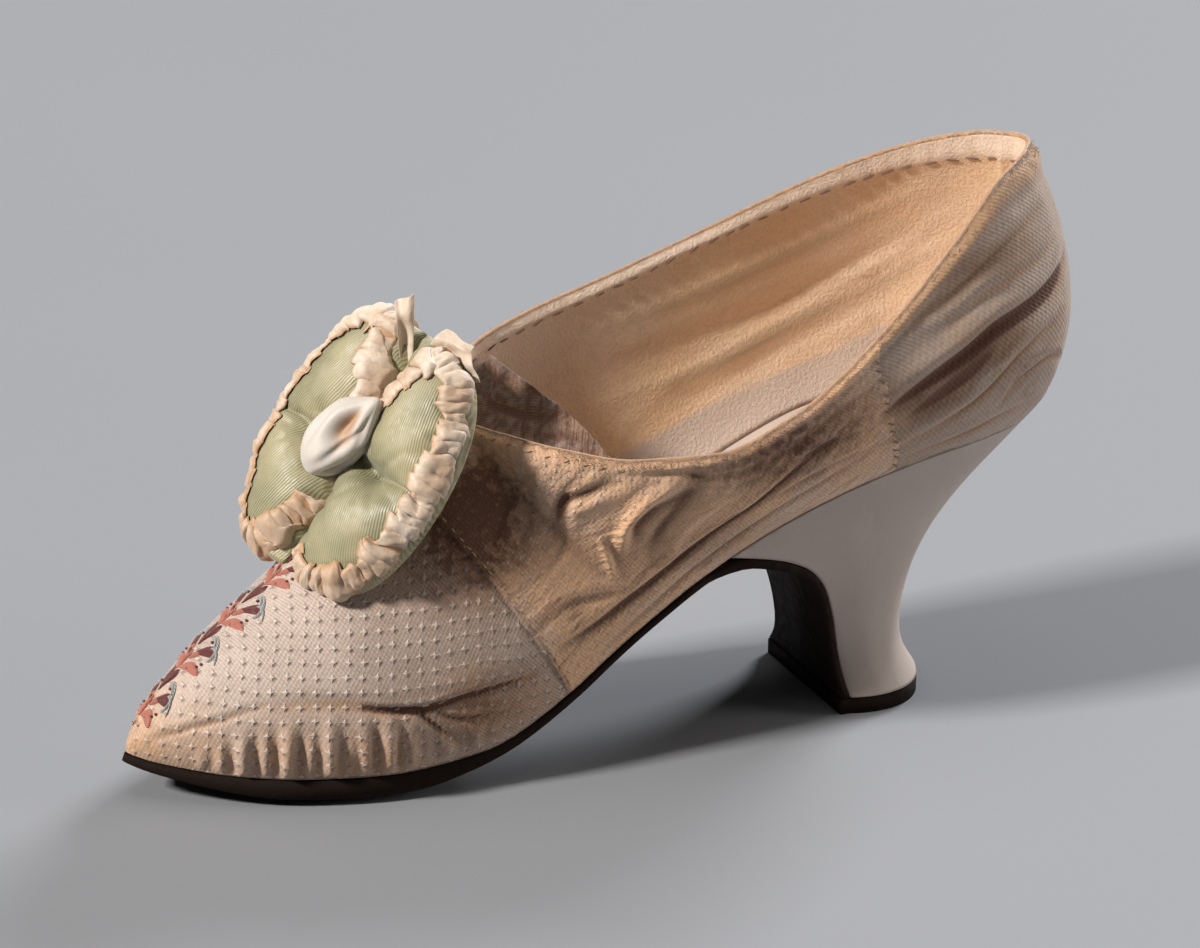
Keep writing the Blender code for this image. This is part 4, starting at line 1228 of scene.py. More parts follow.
def make_stitches():
    """Thread along the collar, the vamp seam, the side seam and the back seam."""
    sizes, colours = bpy.context.scene.shoe_sizes, bpy.context.scene.shoe_colours
    pale, dark = bmesh.new(), bmesh.new()
    for side in (OUTER, INNER):
        ribs = np.linspace(THROAT_RIB + 0.5, LAST_RIB - 0.1, 240)
        drop = np.array([BINDING_FOOT + 0.004])
        normals = rib_normals(ribs, drop, side)
        inside = rib_points(ribs, drop, side) - normals * (sizes.wall + 0.0002)
        # Sewn with dark thread: real stitches, and partly painted shade for the slits between the
        # binding's puffs.
        stitch_line(dark, inside, -normals, STITCH_SPACING, sizes.stitch, sizes.thread, 0.12, 21 + side)
        places, normals = surface_points(ribs, 0.945, side, 0.0)
        stitch_line(dark, places, normals, 0.0046, 0.0015, 0.6 * sizes.thread, 0.5, 31 + side)
        add_fibres(pale, ribs, side, 81 + side)
        ts = np.linspace(0.03, 0.97, 80)
        places, normals = surface_points(side_seam(ts), ts, side, 0.0001)
        stitch_line(dark, places, normals, 0.0030, 0.0024, 0.75 * sizes.thread, 0.75, 41 + side)
        places, normals = surface_points(SEAM_RIB + 0.07, np.linspace(0.04, 0.90, 80), side, 0.0)
        stitch_line(pale, places, normals, 0.0027, 0.0014, 0.7 * sizes.thread, 0.1, 51 + side)
    ts = np.linspace(0.55, 0.94, 60)
    normals = rib_normals(LAST_RIB, ts, INNER)
    inside = rib_points(LAST_RIB, ts, INNER) - normals * (sizes.wall - 0.0001)
    stitch_line(pale, inside, -normals, 0.0034, 0.0030, sizes.thread, 1.2, 61)
    pieces = [
        new_piece("pale_stitches", pale, thread_material("pale thread", colours.thread)),
        new_piece("side_seam_stitches", dark, thread_material("dark thread", colours.dark_thread)),
    ]


class Ridge:
    """Places on the vamp, in metres along its middle from the toe and across it."""

    def __init__(self):
        self.ribs = np.linspace(0.0, THROAT_RIB, 181)
        line = rib_points(self.ribs, 1.0, OUTER)
        self.along = run_along(line)
        ts = np.linspace(0.5, 1.0, 21)[None, :]
        half = rib_points(self.ribs[:, None], ts, OUTER)
        self.reach = 2 * np.linalg.norm(np.diff(half, axis=1), axis=-1).sum(axis=1)

    def __call__(self, along, across, lift):
        ribs = np.interp(along, self.along, self.ribs)
        ts = 1.0 - np.abs(across) / np.interp(ribs, self.ribs, self.reach)
        sides = [surface_points(ribs, ts, side, lift)[0] for side in (OUTER, INNER)]
        return np.where((np.asarray(across) > 0)[..., None], sides[1], sides[0])


# One sprig of the embroidery, in millimetres from its own root: where each leaf
# starts along and across, its length, half-width, direction and curl in degrees, the
# share of its length at which it is widest and the share of its width at its stem
Leaf = namedtuple("Leaf", "along across long half turn curl peak stem")
SPRIG = {
    "leaf": [
        Leaf(0.5, 0.2, 10.2, 1.25, 30, 26, 0.76, 0.28),
        Leaf(4.2, 0.0, 7.4, 1.0, 4, 16, 0.74, 0.28),
    ],
    "under_leaf": [
        Leaf(-2.6, 0.3, 8.4, 1.15, 36, 44, 0.60, 0.35),
        Leaf(-3.2, 0.0, 6.0, 0.55, 0, 0, 0.50, 0.80),
        Leaf(0.6, 0.9, 5.2, 0.80, 24, 10, 0.60, 0.40),
    ],
    "scroll": [
        Leaf(4.8, 6.2, 5.6, 0.55, 58, -190, 0.55, 0.70),
        Leaf(6.2, 4.6, 4.6, 0.50, 10, 150, 0.55, 0.70),
        Leaf(8.0, 2.0, 3.4, 0.50, 40, 120, 0.55, 0.70),
    ],
}
DOTS = [(-0.4, 3.2), (0.6, 4.3), (2.0, 5.2), (3.4, 5.9), (7.6, 3.4)]
SPRIG_COUNT = 5
SPRIG_START = 0.0055


def add_leaf(bm, layer, ridge, leaf, root, side):
    """A domed leaf of satin stitch, drawn on the vamp."""
    share = np.linspace(0.0, 1.0, 13)[:, None]
    over = np.linspace(-1.0, 1.0, 5)[None, :]
    swell = np.sin(math.pi * share ** (math.log(0.5) / math.log(leaf.peak))) ** 0.8
    half = leaf.half * (leaf.stem * np.sin(math.pi * share) ** 0.3 + (1 - leaf.stem) * swell)
    angle = np.radians(leaf.turn + leaf.curl * share * 0.5)
    heading = np.radians(leaf.turn + leaf.curl * share)
    along = leaf.along + leaf.long * share * np.cos(angle) - over * half * np.sin(heading)
    across = leaf.across + leaf.long * share * np.sin(angle) + over * half * np.cos(heading)
    dome = 0.55 * (1 - over * over) * (0.35 + 0.65 * np.sin(math.pi * share))
    places = ridge(root + along * MM, side * across * MM, (0.05 + dome) * MM)
    threads = np.stack(np.broadcast_arrays(leaf.long * share, over * half, 0.0), axis=-1)
    grid_sheet(bm, places, {layer: threads})


def add_dot(bm, ridge, along, across, radius):
    made = bmesh.ops.create_icosphere(bm, subdivisions=1, radius=radius)["verts"]
    middle = ridge(np.array([along]), np.array([across]), np.array([0.2 * MM]))[0]
    bmesh.ops.translate(bm, verts=made, vec=middle)


def make_embroidery():
    """Sprigs of leaves, scrolls and dots up the middle of the vamp."""
    sizes, colours = bpy.context.scene.shoe_sizes, bpy.context.scene.shoe_colours
    ridge = Ridge()
    for kind, leaves in SPRIG.items():
        bm = bmesh.new()
        layer = bm.verts.layers.float_vector.new("fabric")
        for number in range(SPRIG_COUNT):
            root = SPRIG_START + number * sizes.sprig_pitch
            for side in (OUTER, INNER):
                for leaf in leaves:
                    add_leaf(bm, layer, ridge, leaf, root, side)
                if kind == "leaf":
                    for along, across in DOTS:
                        add_dot(bm, ridge, root + along * MM, side * across * MM, 0.42 * MM)
        bmesh.ops.recalc_face_normals(bm, faces=bm.faces)
        tint = getattr(colours, kind)
        piece = new_piece(f"embroidered_{kind}", bm, satin_stitch_material(f"{kind} stitching", tint))


# Creases across the tongue: share of its height, waviness and depth
TONGUE_CREASES = [
    (0.88, 0.02, 1.0),
    (0.74, 0.04, 1.0),
    (0.63, -0.03, 0.8),
    (0.55, 0.03, 0.6),
    (0.42, 0.02, 0.6),
]
# How soiled and bare the tongue is all over
TONGUE_SOIL = 0.85
TONGUE_BARE = 0.90


def make_tongue():
    """The tongue, creased where it has been bent back."""
    bm = merged_copy("tongue")
    bmesh.ops.subdivide_edges(bm, edges=bm.edges, cuts=2, use_grid_fill=True)
    layer = look_layers(bm)
    bm.normal_update()
    low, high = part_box("tongue")
    for vert in bm.verts:
        place = (vert.co - low) / MM
        height = (vert.co.z - low.z) / (high.z - low.z)
        across = place.y + 0.35 * place.x
        crease = 0.0
        for at, bend, depth in TONGUE_CREASES:
            away = height - at - bend * math.sin(0.16 * across)
            crease -= depth * math.exp(-((away / 0.035) ** 2))
        vert[layer["fabric"]] = (place.x, place.y, 0.0)
        vert[layer["fold"]] = crease
        vert[layer["soil"]] = TONGUE_SOIL
        vert[layer["bare"]] = TONGUE_BARE
        vert.co += vert.normal * 0.6 * MM * crease
    tongue = new_piece("creased_tongue", bm, silk_material("tongue"))
    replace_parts(subdivided(tongue, 1), "tongue")


def make_underside():
    """Sole, heel, top piece and insole with their leathers."""
    colours = bpy.context.scene.shoe_colours
    white = [min(1.0, 1.25 * c) for c in colours.heel]
    looks = {
        "outsole": Leather(colours.sole, (0.06, 0.04, 0.028), 0.4, 700.0, 0.0002, 0.75, 0.12),
        "heel": Leather(colours.heel, white, 0.35, 1100.0, 0.0001, 0.48, 0.4),
        "heel_top_piece": Leather(colours.sole, (0.07, 0.045, 0.03), 0.4, 600.0, 0.0002, 0.75, 0.12),
        "insole": Leather(colours.insole, (0.55, 0.42, 0.30), 0.5, 900.0, 0.00012, 0.7, 0.4),
    }
    for node, look in looks.items():
        bm = merged_copy(node)
        keep_sharp(bm, 40 if node == "insole" else 30)
        piece = new_piece(f"leather_{node}", bm, leather_material(f"{node} leather", look))
        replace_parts(subdivided(piece, 2 if node == "heel" else 1), node)


def bow_axes(lobe):
    """A frame with x up the lobe, y out from the knot and z to the front."""
    roof = math.radians(lobe.roof)
    sideways = Vector((0.0, lobe.side, 0.0))
    axes = Matrix.Identity(4)
    axes.col[0].xyz = BOW_UP
    axes.col[1].xyz = sideways * math.cos(roof) - BOW_FRONT * math.sin(roof)
    axes.col[2].xyz = sideways * math.sin(roof) + BOW_FRONT * math.cos(roof)
    axes.translation = BOW_MIDDLE - BOW_UP * lobe.slide * MM
    return axes


# How a lobe is puffed out: how much larger it is simulated, the voxels' size and the
# furthest movement in millimetres, the frames that it takes and the cloth's settings
PUFF_SCALE = 15.0
PUFF_VOXEL = 1.1
PUFF_LIMIT = 3.2
PUFF_FRAMES = 20
PUFF_CLOTH = {
    "quality": 6,
    "mass": 0.3,
    "tension_stiffness": 12.0,
    "compression_stiffness": 12.0,
    "bending_stiffness": 0.2,
    "use_pressure": True,
    "uniform_pressure_force": 6.0,
    "shrink_min": -0.10,
    "vertex_group_mass": "held",
}
# The tuft's crease, from the knot outwards, in the lobe's own millimetres
TUFT_LINE = ((0.0, 1.0), (-1.5, 10.5))


def tuft_distance(x, y):
    (x0, y0), (x1, y1) = TUFT_LINE
    run_x, run_y = x1 - x0, y1 - y0
    t = ((x - x0) * run_x + (y - y0) * run_y) / (run_x**2 + run_y**2)
    t = min(1.0, max(0.0, t))
    return math.hypot(x - x0 - t * run_x, y - y0 - t * run_y), t


# Creases that run out from the tuft, in degrees from straight out, and their lengths
PUCKERS = [
    (-150, 7), (-115, 10), (-75, 8), (-40, 11), (-12, 13),
    (18, 10), (52, 12), (88, 8), (124, 10), (158, 7),
]


def pucker_depth(x, y):
    """How deep the creases round the tuft are at a place in the lobe's millimetres."""
    dx, dy = x - TUFT_LINE[1][0], y - TUFT_LINE[1][1] + 0.5
    reach = math.hypot(dx, dy)
    angle = math.degrees(math.atan2(dx, dy))
    depth = 1.8 * math.exp(-((reach / 1.9) ** 2))
    for turn, long in PUCKERS:
        off = (angle - turn + 180) % 360 - 180
        if abs(off) < 60:
            fade = math.sin(math.pi * min(1.0, reach / long)) ** 0.8
            depth += 0.75 * fade * math.exp(-((reach * math.sin(math.radians(off)) / 0.65) ** 2))
    return depth


def is_held(lobe, place):
    """Whether a place in a lobe's own millimetres is sewn down: back, rim or tuft."""
    x, y, z = place
    share = min(1.0, abs(x) / lobe.half_length)
    rim = lobe.inner_edge + lobe.width * (1 - share * share) ** (LOBE_FULLNESS / 2)
    away, _ = tuft_distance(x, y)
    return z < 0.6 or y > rim - 0.8 or share > 0.96 or away < 0.8


def puffed(lobe, bm):
    """Lets pressure puff out the front of a lobe, held where it is sewn down."""
    scene = bpy.context.scene
    large = Matrix.Scale(PUFF_SCALE, 4) @ bow_axes(lobe).inverted()
    bmesh.ops.transform(bm, matrix=large, verts=bm.verts)
    millimetre = PUFF_SCALE * MM
    mesh = bpy.data.meshes.new("lobe form")
    bm.to_mesh(mesh)
    bm.free()
    form = bpy.data.objects.new("lobe form", mesh)
    scene.collection.objects.link(form)
    remesh = form.modifiers.new("voxels", "REMESH")
    remesh.mode = "VOXEL"
    remesh.voxel_size = PUFF_VOXEL * millimetre
    form.data = evaluated_mesh(form)
    form.modifiers.clear()
    held = form.vertex_groups.new(name="held")
    for vert in form.data.vertices:
        away, t = tuft_distance(vert.co.x / millimetre, vert.co.y / millimetre)
        if vert.co.z > 0:
            vert.co.z *= 0.86 - 0.80 * (1 - 0.35 * t) * math.exp(-((away / 1.5) ** 2))
        vert.co.y -= 1.1 * millimetre * (1 - float(smooth(0.0, 5.0, vert.co.y / millimetre)))
        if is_held(lobe, vert.co / millimetre):
            held.add([vert.index], 1.0, "REPLACE")
    before = [vert.co.copy() for vert in form.data.vertices]
    cloth = form.modifiers.new("puffing", "CLOTH")
    for name, value in PUFF_CLOTH.items():
        setattr(cloth.settings, name, value)
    cloth.settings.effector_weights.gravity = 0.0
    for number in range(1, PUFF_FRAMES + 1):
        scene.frame_set(number)
    puffed_mesh = evaluated_mesh(form)
    form.modifiers.clear()
    form.data = puffed_mesh
    scene.frame_set(1)
    bm = bmesh.new()
    bm.from_mesh(form.data)
    bm.verts.ensure_lookup_table()
    for vert, start in zip(bm.verts, before):
        moved = vert.co - start
        if moved.length > PUFF_LIMIT * millimetre:
            vert.co = start + moved.normalized() * PUFF_LIMIT * millimetre
    bpy.data.objects.remove(form)
    relax(bm, 0.4)
    silk = bm.verts.layers.float_vector.new("fabric")
    for vert in bm.verts:
        vert[silk] = vert.co / millimetre
        if vert.co.z > 0:
            vert.co.z -= pucker_depth(*vert[silk].xy) * millimetre
    bmesh.ops.transform(bm, matrix=large.inverted(), verts=bm.verts)
    bmesh.ops.recalc_face_normals(bm, faces=bm.faces)
    return bm


def make_pads():
    """The two stuffed lobes of the bow."""
    colours = bpy.context.scene.shoe_colours
    material = ribbed_silk_material("lobe silk", colours.pad)
    for lobe in LOBES:
        bm = puffed(lobe, merged_copy(f"bow_pad_{lobe.word}"))
        pad = subdivided(new_piece(f"puffed_lobe_{lobe.word}", bm, material), 1)
        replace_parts(pad, f"bow_pad_{lobe.word}")


# The gathered ribbon's way over each lobe's rim: out from the rim and to the front, in
# millimetres
RIM_ARCS = {
    "outer": np.array([(0.0, 2.6), (-1.2, 4.4), (-2.6, 5.8), (-4.1, 6.8), (-5.6, 7.5)]),
    "inner": np.array([(1.4, 0.0), (0.8, 2.8), (-1.0, 5.0), (-3.2, 6.6), (-5.4, 7.6)]),
}
# How far the ribbon runs on along the lobe's inner edge, from the middle, in
# millimetres, at the foot and at the top
RIBBON_ENDS = {"outer": (-26.0, 9.0), "inner": (-13.0, 8.0)}
RIBBON_COLUMNS = 560
RIBBON_ROWS = 12
RIBBON_THICKNESS = 0.00022


def rim_path(lobe):
    """Evenly spaced places along a lobe's rim, with the share of full width there."""
    angles = np.linspace(0.03, 0.97, 300) * math.pi
    outwards = lobe.inner_edge + lobe.width * np.sin(angles) ** LOBE_FULLNESS
    rim = np.stack([-lobe.half_length * np.cos(angles), outwards], axis=-1)
    foot, top = RIBBON_ENDS[lobe.word]
    start, stop = np.array([[foot, 1.6]]), np.array([[top, 1.6]])
    path = np.concatenate([start, rim, stop]) if foot > rim[0, 0] else np.concatenate([rim, stop])
    run = run_along(path)
    even = np.linspace(0.0, run[-1], RIBBON_COLUMNS + 1)
    path = np.stack([np.interp(even, run, path[:, k]) for k in (0, 1)], axis=-1)
    soft = np.ones(25) / 25
    padded = np.concatenate([np.repeat(path[:1], 12, 0), path, np.repeat(path[-1:], 12, 0)])
    path = np.stack([np.convolve(padded[:, k], soft, "valid") for k in (0, 1)], axis=-1)
    inside = smooth(2.0, 9.0, path[:, 1])
    return path, even, 0.62 + 0.38 * inside


def gathered_places(lobe, seed):
    """The ribbon's places in the lobe's own millimetres, pleat after pleat."""
    rng = np.random.default_rng(seed)
    path, even, wide = rim_path(lobe)
    heading = np.gradient(path, axis=0)
    heading /= np.linalg.norm(heading, axis=1, keepdims=True)
    out = np.stack([-heading[:, 1], heading[:, 0]], axis=-1)
    pitch = bpy.context.scene.shoe_sizes.pleat / MM
    pleats = max(6, round(even[-1] / pitch))
    knots = np.concatenate([[0.0], np.cumsum(rng.uniform(0.40, 1.60, pleats))])
    numbers = np.arange(pleats + 1.0)
    phase = np.interp(even / even[-1], knots / knots[-1], numbers)
    bold = np.interp(phase, numbers, rng.uniform(0.40, 1.45, pleats + 1))
    lean = np.interp(phase, numbers, rng.uniform(-1.6, 1.6, pleats + 1))
    ragged = np.interp(phase, numbers, rng.uniform(-1.7, 1.5, pleats + 1))
    line = RIM_ARCS[lobe.word]
    arc_run = run_along(line)
    arc_at = np.linspace(0.0, arc_run[-1], RIBBON_ROWS + 1)
    arc = np.stack([hermite(arc_run, line[:, k], arc_at, False) for k in (0, 1)], axis=-1)
    slope = np.gradient(arc, axis=0)
    slope /= np.linalg.norm(slope, axis=1, keepdims=True)
    base = np.zeros((RIBBON_COLUMNS + 1, RIBBON_ROWS + 1, 3))
    lift = np.zeros(base.shape[:2])
    for j in range(RIBBON_ROWS + 1):
        row = 2.0 * j / RIBBON_ROWS - 1.0
        turn = 2 * math.pi * phase + lean * row + 0.6 * np.sin(3.1 * row + 0.7 * phase)
        turn = turn + 0.45 * np.sin(2 * turn + 1.3 * phase)
        puff = bold * (0.75 + 0.35 * abs(row))
        crumple = 0.26 * np.sin(2.3 * turn + 4.0 * row) + 0.20 * np.sin(5.1 * turn - 3.0 * row)
        flat = 1 - 0.60 * row**4 - 0.32 * max(0.0, row) ** 3
        lift[:, j] = 0.20 + (1.9 * puff * (1 + np.cos(turn)) / 2 + crumple * wide) * flat
        slide = 1.15 * puff * np.sin(turn)
        edge = 0.9 * np.sin(1.7 * phase + 2.0 * row) + 0.6 * np.sin(turn) + 0.3 * np.sin(3.7 * turn)
        edge = edge * abs(row) ** 3 + ragged * max(0.0, row) ** 2
        away = (arc[j, 0] + edge * slope[j, 0]) * wide
        base[:, j, :2] = path + out * away[:, None] + heading * slide[:, None]
        base[:, j, 2] = (arc[j, 1] + edge * slope[j, 1]) * wide
    rows = np.abs(np.linspace(-1, 1, RIBBON_ROWS + 1))
    # Tan towards the lobe's foot and along the ribbon's edges, and painted shade in the pleats' valleys,
    # where the ribbon lies low on the lobe.
    foot_and_edge_tan = -1.0 * smooth(-4.0, -22.0, path[:, :1]) - 0.7 * smooth(0.7, 1.0, rows)
    lift = np.maximum(lift, 0.18)
    return base, lift, foot_and_edge_tan - 1.6 * bell(lift - 0.2, 0.40)


# The loose end of each ribbon that stands up behind the knot: its corners at the foot
# and at the top, each from left to right, in the frame's millimetres
RIBBON_LOOSE = {
    "outer": ((-47.5, -1.0, 95.5), (-38.5, -16.5, 96.0), (-43.8, -4.0, 105.6), (-40.0, -12.5, 103.6)),
    "inner": ((-50.2, 2.2, 87.0), (-48.4, 1.6, 87.0), (-52.2, 2.6, 110.4), (-47.8, 0.9, 112.6)),
}


def end_places(corners):
    """A crumpled strip of ribbon between four corners, turned over at its top."""
    left_foot, right_foot, left_top, right_top = np.array(corners)
    over = np.linspace(0.0, 1.0, 13)[:, None, None]
    up = np.linspace(0.0, 1.0, 25)[None, :, None]
    foot = left_foot + (right_foot - left_foot) * over
    top = left_top + (right_top - left_top) * over
    places = foot + (top - foot) * up
    across = np.cross(right_foot - left_foot, left_top - left_foot)
    across = across / np.linalg.norm(across)
    wave = 0.55 * np.sin(7.0 * over + 3.0 * up) + 0.35 * np.sin(11.0 * up - 4.0 * over)
    turned = -2.2 * smooth(0.80, 1.0, up) ** 2
    return (places + across * (wave * smooth(0.0, 0.3, up) + turned)) * MM


def laid_on(places, lift, tree):
    """Places moved on to a form, each with its own lift above it."""
    for spot in np.ndindex(places.shape[:2]):
        near, normal, _, _ = tree.find_nearest(Vector(places[spot]))
        places[spot] = near + normal * lift[spot]
    return places


def form_tree(*pieces):
    """What a ribbon must stay outside of."""
    bm = bmesh.new()
    for piece in pieces:
        bm.from_mesh(piece.data)
    return BVHTree.FromBMesh(bm)


# The braid behind the knot: its foot and its top in the frame's millimetres
BRAID = (-46.2, 4.0, 93.0), (-44.8, 4.0, 99.8)


def make_braid():
    """A short plait of thread between the lobes."""
    foot, top = (Vector(place) * MM for place in BRAID)
    direction = (top - foot).normalized()
    front = Vector((-0.35, -0.87, 0.34))
    front = (front - direction * front.dot(direction)).normalized()
    bm = bmesh.new()
    for number in range(8):
        hand = 1 if number % 2 else -1
        middle = foot.lerp(top, number / 7) + direction.cross(front) * 0.55 * hand * MM
        slant = Matrix.Rotation(0.7 * hand, 3, front)
        add_stitch(bm, middle, slant @ direction, front, 2.6 * MM, 1.3 * MM)
    braid = new_piece("braid_end", bm, thread_material("braid", (0.30, 0.13, 0.08)))
    return braid


def flat_ribbon(lobe):
    """Width and length of a lobe's ribbon before it was gathered, with its loose end."""
    sizes = bpy.context.scene.shoe_sizes
    _, run, _ = rim_path(lobe)
    long = sizes.fullness * run[-1]
    left_foot, right_foot, left_top, right_top = np.array(RIBBON_LOOSE[lobe.word])
    long += np.linalg.norm(left_top + right_top - left_foot - right_foot) / 2
    return sizes.ribbon, long * MM


def make_ruffles():
    """Gathered ribbon over the rim of each lobe, with the ribbon's end standing up."""
    colours = bpy.context.scene.shoe_colours
    material = ribbon_material("gathered ribbon", colours.ribbon, 0.55, 1.3)
    for lobe in LOBES:
        axes = bow_axes(lobe)
        places, lift, folds = gathered_places(lobe, 71 + lobe.side)
        for spot in np.ndindex(places.shape[:2]):
            places[spot] = axes @ (Vector(places[spot]) * MM)
        places = laid_on(places, lift * MM, form_tree(bpy.data.objects[f"puffed_lobe_{lobe.word}"]))
        bm = bmesh.new()
        fold = bm.verts.layers.float.new("fold")
        grid_sheet(bm, places, {fold: folds})
        end = end_places(RIBBON_LOOSE[lobe.word])
        grid_sheet(bm, end, {fold: np.full(end.shape[:2], -0.3)})
        relax(bm, 0.2)
        bmesh.ops.recalc_face_normals(bm, faces=bm.faces)
        ruffle = new_piece(f"gathered_ribbon_{lobe.word}", bm, material)
        thicken = ruffle.modifiers.new("cloth", "SOLIDIFY")
        thicken.thickness = RIBBON_THICKNESS
        thicken.offset = 0.0
        subdivided(ruffle, 1)
        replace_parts(ruffle, f"bow_ruffle_{lobe.word}")
        trim = [make_braid()] if lobe.side == OUTER else []
        flat_ribbon(lobe)


# The knot: half sizes in millimetres, how far it lies aslant and how far it stands
# in front of the bow's middle
KNOT_HALF = (13.4, 7.4, 6.4)
KNOT_ASLANT = math.radians(-30.0)
KNOT_FORWARD = 6.0
# Its folds: share of the way along from the middle, degrees round from the front
# towards the outer side, half-length as a share, half-width in degrees, slant in
# degrees round for each share along, and depth in millimetres, below zero for a ridge
Dent = namedtuple("Dent", "along round long wide slant depth")
KNOT_DENTS = [
    Dent(0.40, 40, 0.36, 26, -34, 4.6),
    Dent(-0.50, 104, 0.22, 17, 30, 2.8),
    Dent(0.10, 72, 0.62, 8, 24, 1.2),
    Dent(-0.20, 4, 0.50, 12, -20, 0.9),
    Dent(-0.45, 54, 0.32, 26, 0, -1.3),
    Dent(0.55, 88, 0.30, 10, -30, 1.2),
    Dent(0.05, 118, 0.55, 12, 20, 1.2),
    Dent(0.30, 8, 0.40, 12, -20, -0.9),
]


def make_knot():
    """The ribbon knot between the lobes, softly folded and hollow at its upper end."""
    colours = bpy.context.scene.shoe_colours
    turn = Matrix.Rotation(KNOT_ASLANT, 3, BOW_FRONT)
    along, across = turn @ BOW_UP, turn @ Vector((0.0, OUTER, 0.0))
    middle = BOW_MIDDLE + BOW_FRONT * KNOT_FORWARD * MM
    bm = bmesh.new()
    fold = bm.verts.layers.float.new("fold")
    made = bmesh.ops.create_uvsphere(bm, u_segments=80, v_segments=48, radius=1.0)["verts"]
    for vert in made:
        a = vert.co.z
        girth = math.sqrt(max(0.0, 1 - a * a))
        angle = math.atan2(vert.co.x, vert.co.y)
        sunk = 0.0
        for dent in KNOT_DENTS:
            x = a - dent.along
            centre = math.radians(dent.round + dent.slant * x)
            off = (angle - centre + math.pi) % (2 * math.pi) - math.pi
            sunk += dent.depth * math.exp(-((x / dent.long) ** 2) - (off / math.radians(dent.wide)) ** 2)
        sunk *= girth
        pinch = 1 - 0.42 * smooth(0.30, 0.95, a) + 0.10 * math.exp(-(((a + 0.5) / 0.35) ** 2))
        ripple = 0.20 * girth * math.sin(7.0 * angle + 3.0 * a) * smooth(-0.9, 0.6, a)
        share = 1 - (sunk - ripple) / KNOT_HALF[1]
        side = across * KNOT_HALF[1] * girth * math.sin(angle) * pinch * share
        depth = BOW_FRONT * KNOT_HALF[2] * girth * math.cos(angle) * pinch * share
        # Painted shade: the dents turn tan in the ribbon's colour.
        vert[fold] = -0.6 * max(0.0, sunk)
        vert.co = middle + (along * KNOT_HALF[0] * a + side + depth) * MM
    bmesh.ops.recalc_face_normals(bm, faces=bm.faces)
    relax(bm, 0.3)
    knot = new_piece("ribbon_knot", bm, ribbon_material("knot ribbon", colours.knot, 0.06, 0.25))
    subdivided(knot, 1)
    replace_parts(knot, "bow_knot")


# Where each light stands, its size, its share of the key light's power and its tint
Light = namedtuple("Light", "place size share tint")
LIGHTS = {
    "key": Light((-4.86, -0.20, 3.52), 0.75, 1.0, (1.0, 0.955, 0.90)),
    "right": Light((4.2, 2.6, 3.0), 1.8, 0.60, (0.96, 0.98, 1.0)),
    "side": Light((2.9, -1.2, 0.9), 1.2, 0.066, (1.0, 0.93, 0.86)),
    "above": Light((0.2, 0.2, 3.0), 2.6, 0.048, (1.0, 0.98, 0.96)),
}
LIGHT_AIM = (0.0, 0.0, 0.05)
WORLD_TINT = (1.0, 0.95, 0.90, 1.0)
FLOOR_HALF = 6.0


def area_light(name, place, aim, size, power, tint):
    light = bpy.data.lights.new(name, "AREA")
    light.size = size
    light.energy = power
    light.color = tint
    lamp = bpy.data.objects.new(name, light)
    lamp.location = place
    lamp.rotation_euler = (Vector(aim) - Vector(place)).to_track_quat("-Z", "Y").to_euler()
    bpy.context.scene.collection.objects.link(lamp)


# How the camera frames the shoe: the picture's size in pixels, the pixel that becomes
# its middle, the focal length in pixels and how much larger the shoe is shown
PHOTO_SIZE = (1200, 948)
PHOTO_MIDDLE = (722, 592)
PHOTO_FOCUS = 4722.0
ENLARGED = 1.2
CAMERA_ROLL = math.radians(0.19)
CAMERA_AIM = (-0.0382, 0.0013, 0.1023)


def make_stage():
    """Floor, light and camera."""
    stage = bpy.context.scene.shoe_stage
    bm = bmesh.new()
    bmesh.ops.create_grid(bm, x_segments=8, y_segments=8, size=FLOOR_HALF)
    mesh = bpy.data.meshes.new("floor")
    bm.to_mesh(mesh)
    bm.free()
    mesh.materials.append(floor_material())
    floor = bpy.data.objects.new("floor", mesh)
    bpy.context.scene.collection.objects.link(floor)
    world = bpy.data.worlds.new("soft light")
    world.use_nodes = True
    background = world.node_tree.nodes["Background"]
    background.inputs["Color"].default_value = WORLD_TINT
    background.inputs["Strength"].default_value = stage.fill
    bpy.context.scene.world = world
    for name, light in LIGHTS.items():
        area_light(name, light.place, LIGHT_AIM, light.size, stage.key * light.share, light.tint)
    back = Vector(
        (
            math.sin(stage.yaw) * math.cos(stage.elevation),
            -math.cos(stage.yaw) * math.cos(stage.elevation),
            math.sin(stage.elevation),
        )
    )
    right = Vector((math.cos(stage.yaw), math.sin(stage.yaw), 0.0))
    turn = Matrix((right, back.cross(right), back)).transposed() @ Matrix.Rotation(CAMERA_ROLL, 3, "Z")
    sideways = (PHOTO_MIDDLE[0] - PHOTO_SIZE[0] / 2) / PHOTO_FOCUS
    upwards = (PHOTO_SIZE[1] / 2 - PHOTO_MIDDLE[1]) / PHOTO_FOCUS
    aimed = turn @ Matrix.Rotation(-math.atan(sideways), 3, "Y")
    aimed = aimed @ Matrix.Rotation(math.atan(upwards), 3, "X")
    camera = bpy.data.cameras.new("camera")
    camera.sensor_fit = "HORIZONTAL"
    camera.lens = ENLARGED * PHOTO_FOCUS * camera.sensor_width / PHOTO_SIZE[0]
    holder = bpy.data.objects.new("camera", camera)
    holder.matrix_world = Matrix.Translation(Vector(CAMERA_AIM) + back * stage.distance) @ aimed.to_4x4()
    bpy.context.scene.collection.objects.link(holder)
    bpy.context.scene.camera = holder
    bpy.context.scene.view_settings.view_transform = "Standard"


# Operators, panel and registration


class SHOE_OT_upper(bpy.types.Operator):
    """Make the silk upper with its lining"""

    bl_idname = "shoe.upper"
    bl_label = "Upper"

    def execute(self, context):
        make_upper()
        return {"FINISHED"}


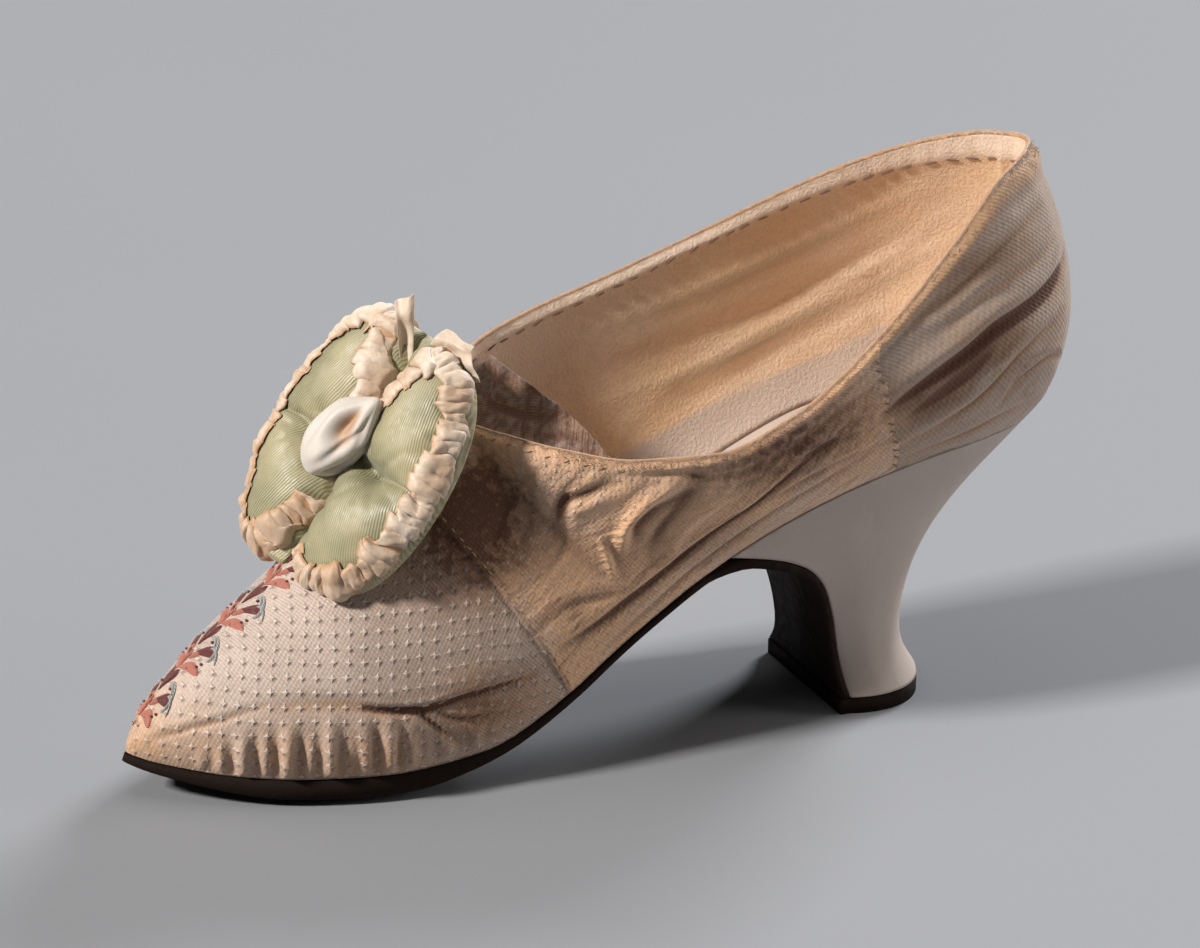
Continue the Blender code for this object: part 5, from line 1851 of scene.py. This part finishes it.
class SHOE_OT_stitches(bpy.types.Operator):
    """Sew the collar and the seams"""

    bl_idname = "shoe.stitches"
    bl_label = "Stitches"

    def execute(self, context):
        make_stitches()
        return {"FINISHED"}


class SHOE_OT_embroidery(bpy.types.Operator):
    """Embroider sprigs up the middle of the vamp"""

    bl_idname = "shoe.embroidery"
    bl_label = "Embroidery"

    def execute(self, context):
        make_embroidery()
        return {"FINISHED"}


class SHOE_OT_tongue(bpy.types.Operator):
    """Make the creased tongue"""

    bl_idname = "shoe.tongue"
    bl_label = "Tongue"

    def execute(self, context):
        make_tongue()
        return {"FINISHED"}


class SHOE_OT_underside(bpy.types.Operator):
    """Finish the sole, heel, top piece and insole"""

    bl_idname = "shoe.underside"
    bl_label = "Sole and heel"

    def execute(self, context):
        make_underside()
        return {"FINISHED"}


class SHOE_OT_pads(bpy.types.Operator):
    """Stuff the lobes of the bow"""

    bl_idname = "shoe.pads"
    bl_label = "Bow lobes"

    def execute(self, context):
        make_pads()
        return {"FINISHED"}


class SHOE_OT_ribbons(bpy.types.Operator):
    """Gather the bow's ribbon and tie its knot"""

    bl_idname = "shoe.ribbons"
    bl_label = "Bow ribbons"

    def execute(self, context):
        make_ruffles()
        make_knot()
        return {"FINISHED"}


class SHOE_OT_stage(bpy.types.Operator):
    """Set up floor, light and camera"""

    bl_idname = "shoe.stage"
    bl_label = "Stage"

    def execute(self, context):
        make_stage()
        return {"FINISHED"}


OPERATORS = (
    SHOE_OT_stage,
    SHOE_OT_upper,
    SHOE_OT_stitches,
    SHOE_OT_embroidery,
    SHOE_OT_tongue,
    SHOE_OT_underside,
    SHOE_OT_pads,
    SHOE_OT_ribbons,
)
GROUPS = {"shoe_sizes": ShoeSizes, "shoe_colours": ShoeColours, "shoe_stage": ShoeStage}


class SHOE_PT_panel(bpy.types.Panel):
    """Lists the shoe's pieces and settings"""

    bl_idname = "SHOE_PT_panel"
    bl_label = "Silk shoe"
    bl_space_type = "VIEW_3D"
    bl_region_type = "UI"
    bl_category = "Shoe"

    def draw(self, context):
        for operator in OPERATORS:
            self.layout.operator(operator.bl_idname)
        for group in GROUPS:
            box = self.layout.box()
            settings = getattr(context.scene, group)
            for name in GROUPS[group].__annotations__:
                box.prop(settings, name)


def register():
    for group, kind in GROUPS.items():
        bpy.utils.register_class(kind)
        setattr(bpy.types.Scene, group, PointerProperty(type=kind))
    for kind in (*OPERATORS, SHOE_PT_panel):
        bpy.utils.register_class(kind)


def unregister():
    for kind in reversed((*OPERATORS, SHOE_PT_panel)):
        bpy.utils.unregister_class(kind)
    for group, kind in GROUPS.items():
        delattr(bpy.types.Scene, group)
        bpy.utils.unregister_class(kind)


def main():
    register()
    bpy.ops.shoe.stage()
    bpy.ops.shoe.upper()
    bpy.ops.shoe.stitches()
    bpy.ops.shoe.embroidery()
    bpy.ops.shoe.tongue()
    bpy.ops.shoe.underside()
    bpy.ops.shoe.pads()
    bpy.ops.shoe.ribbons()


if __name__ == "__main__":
    main()
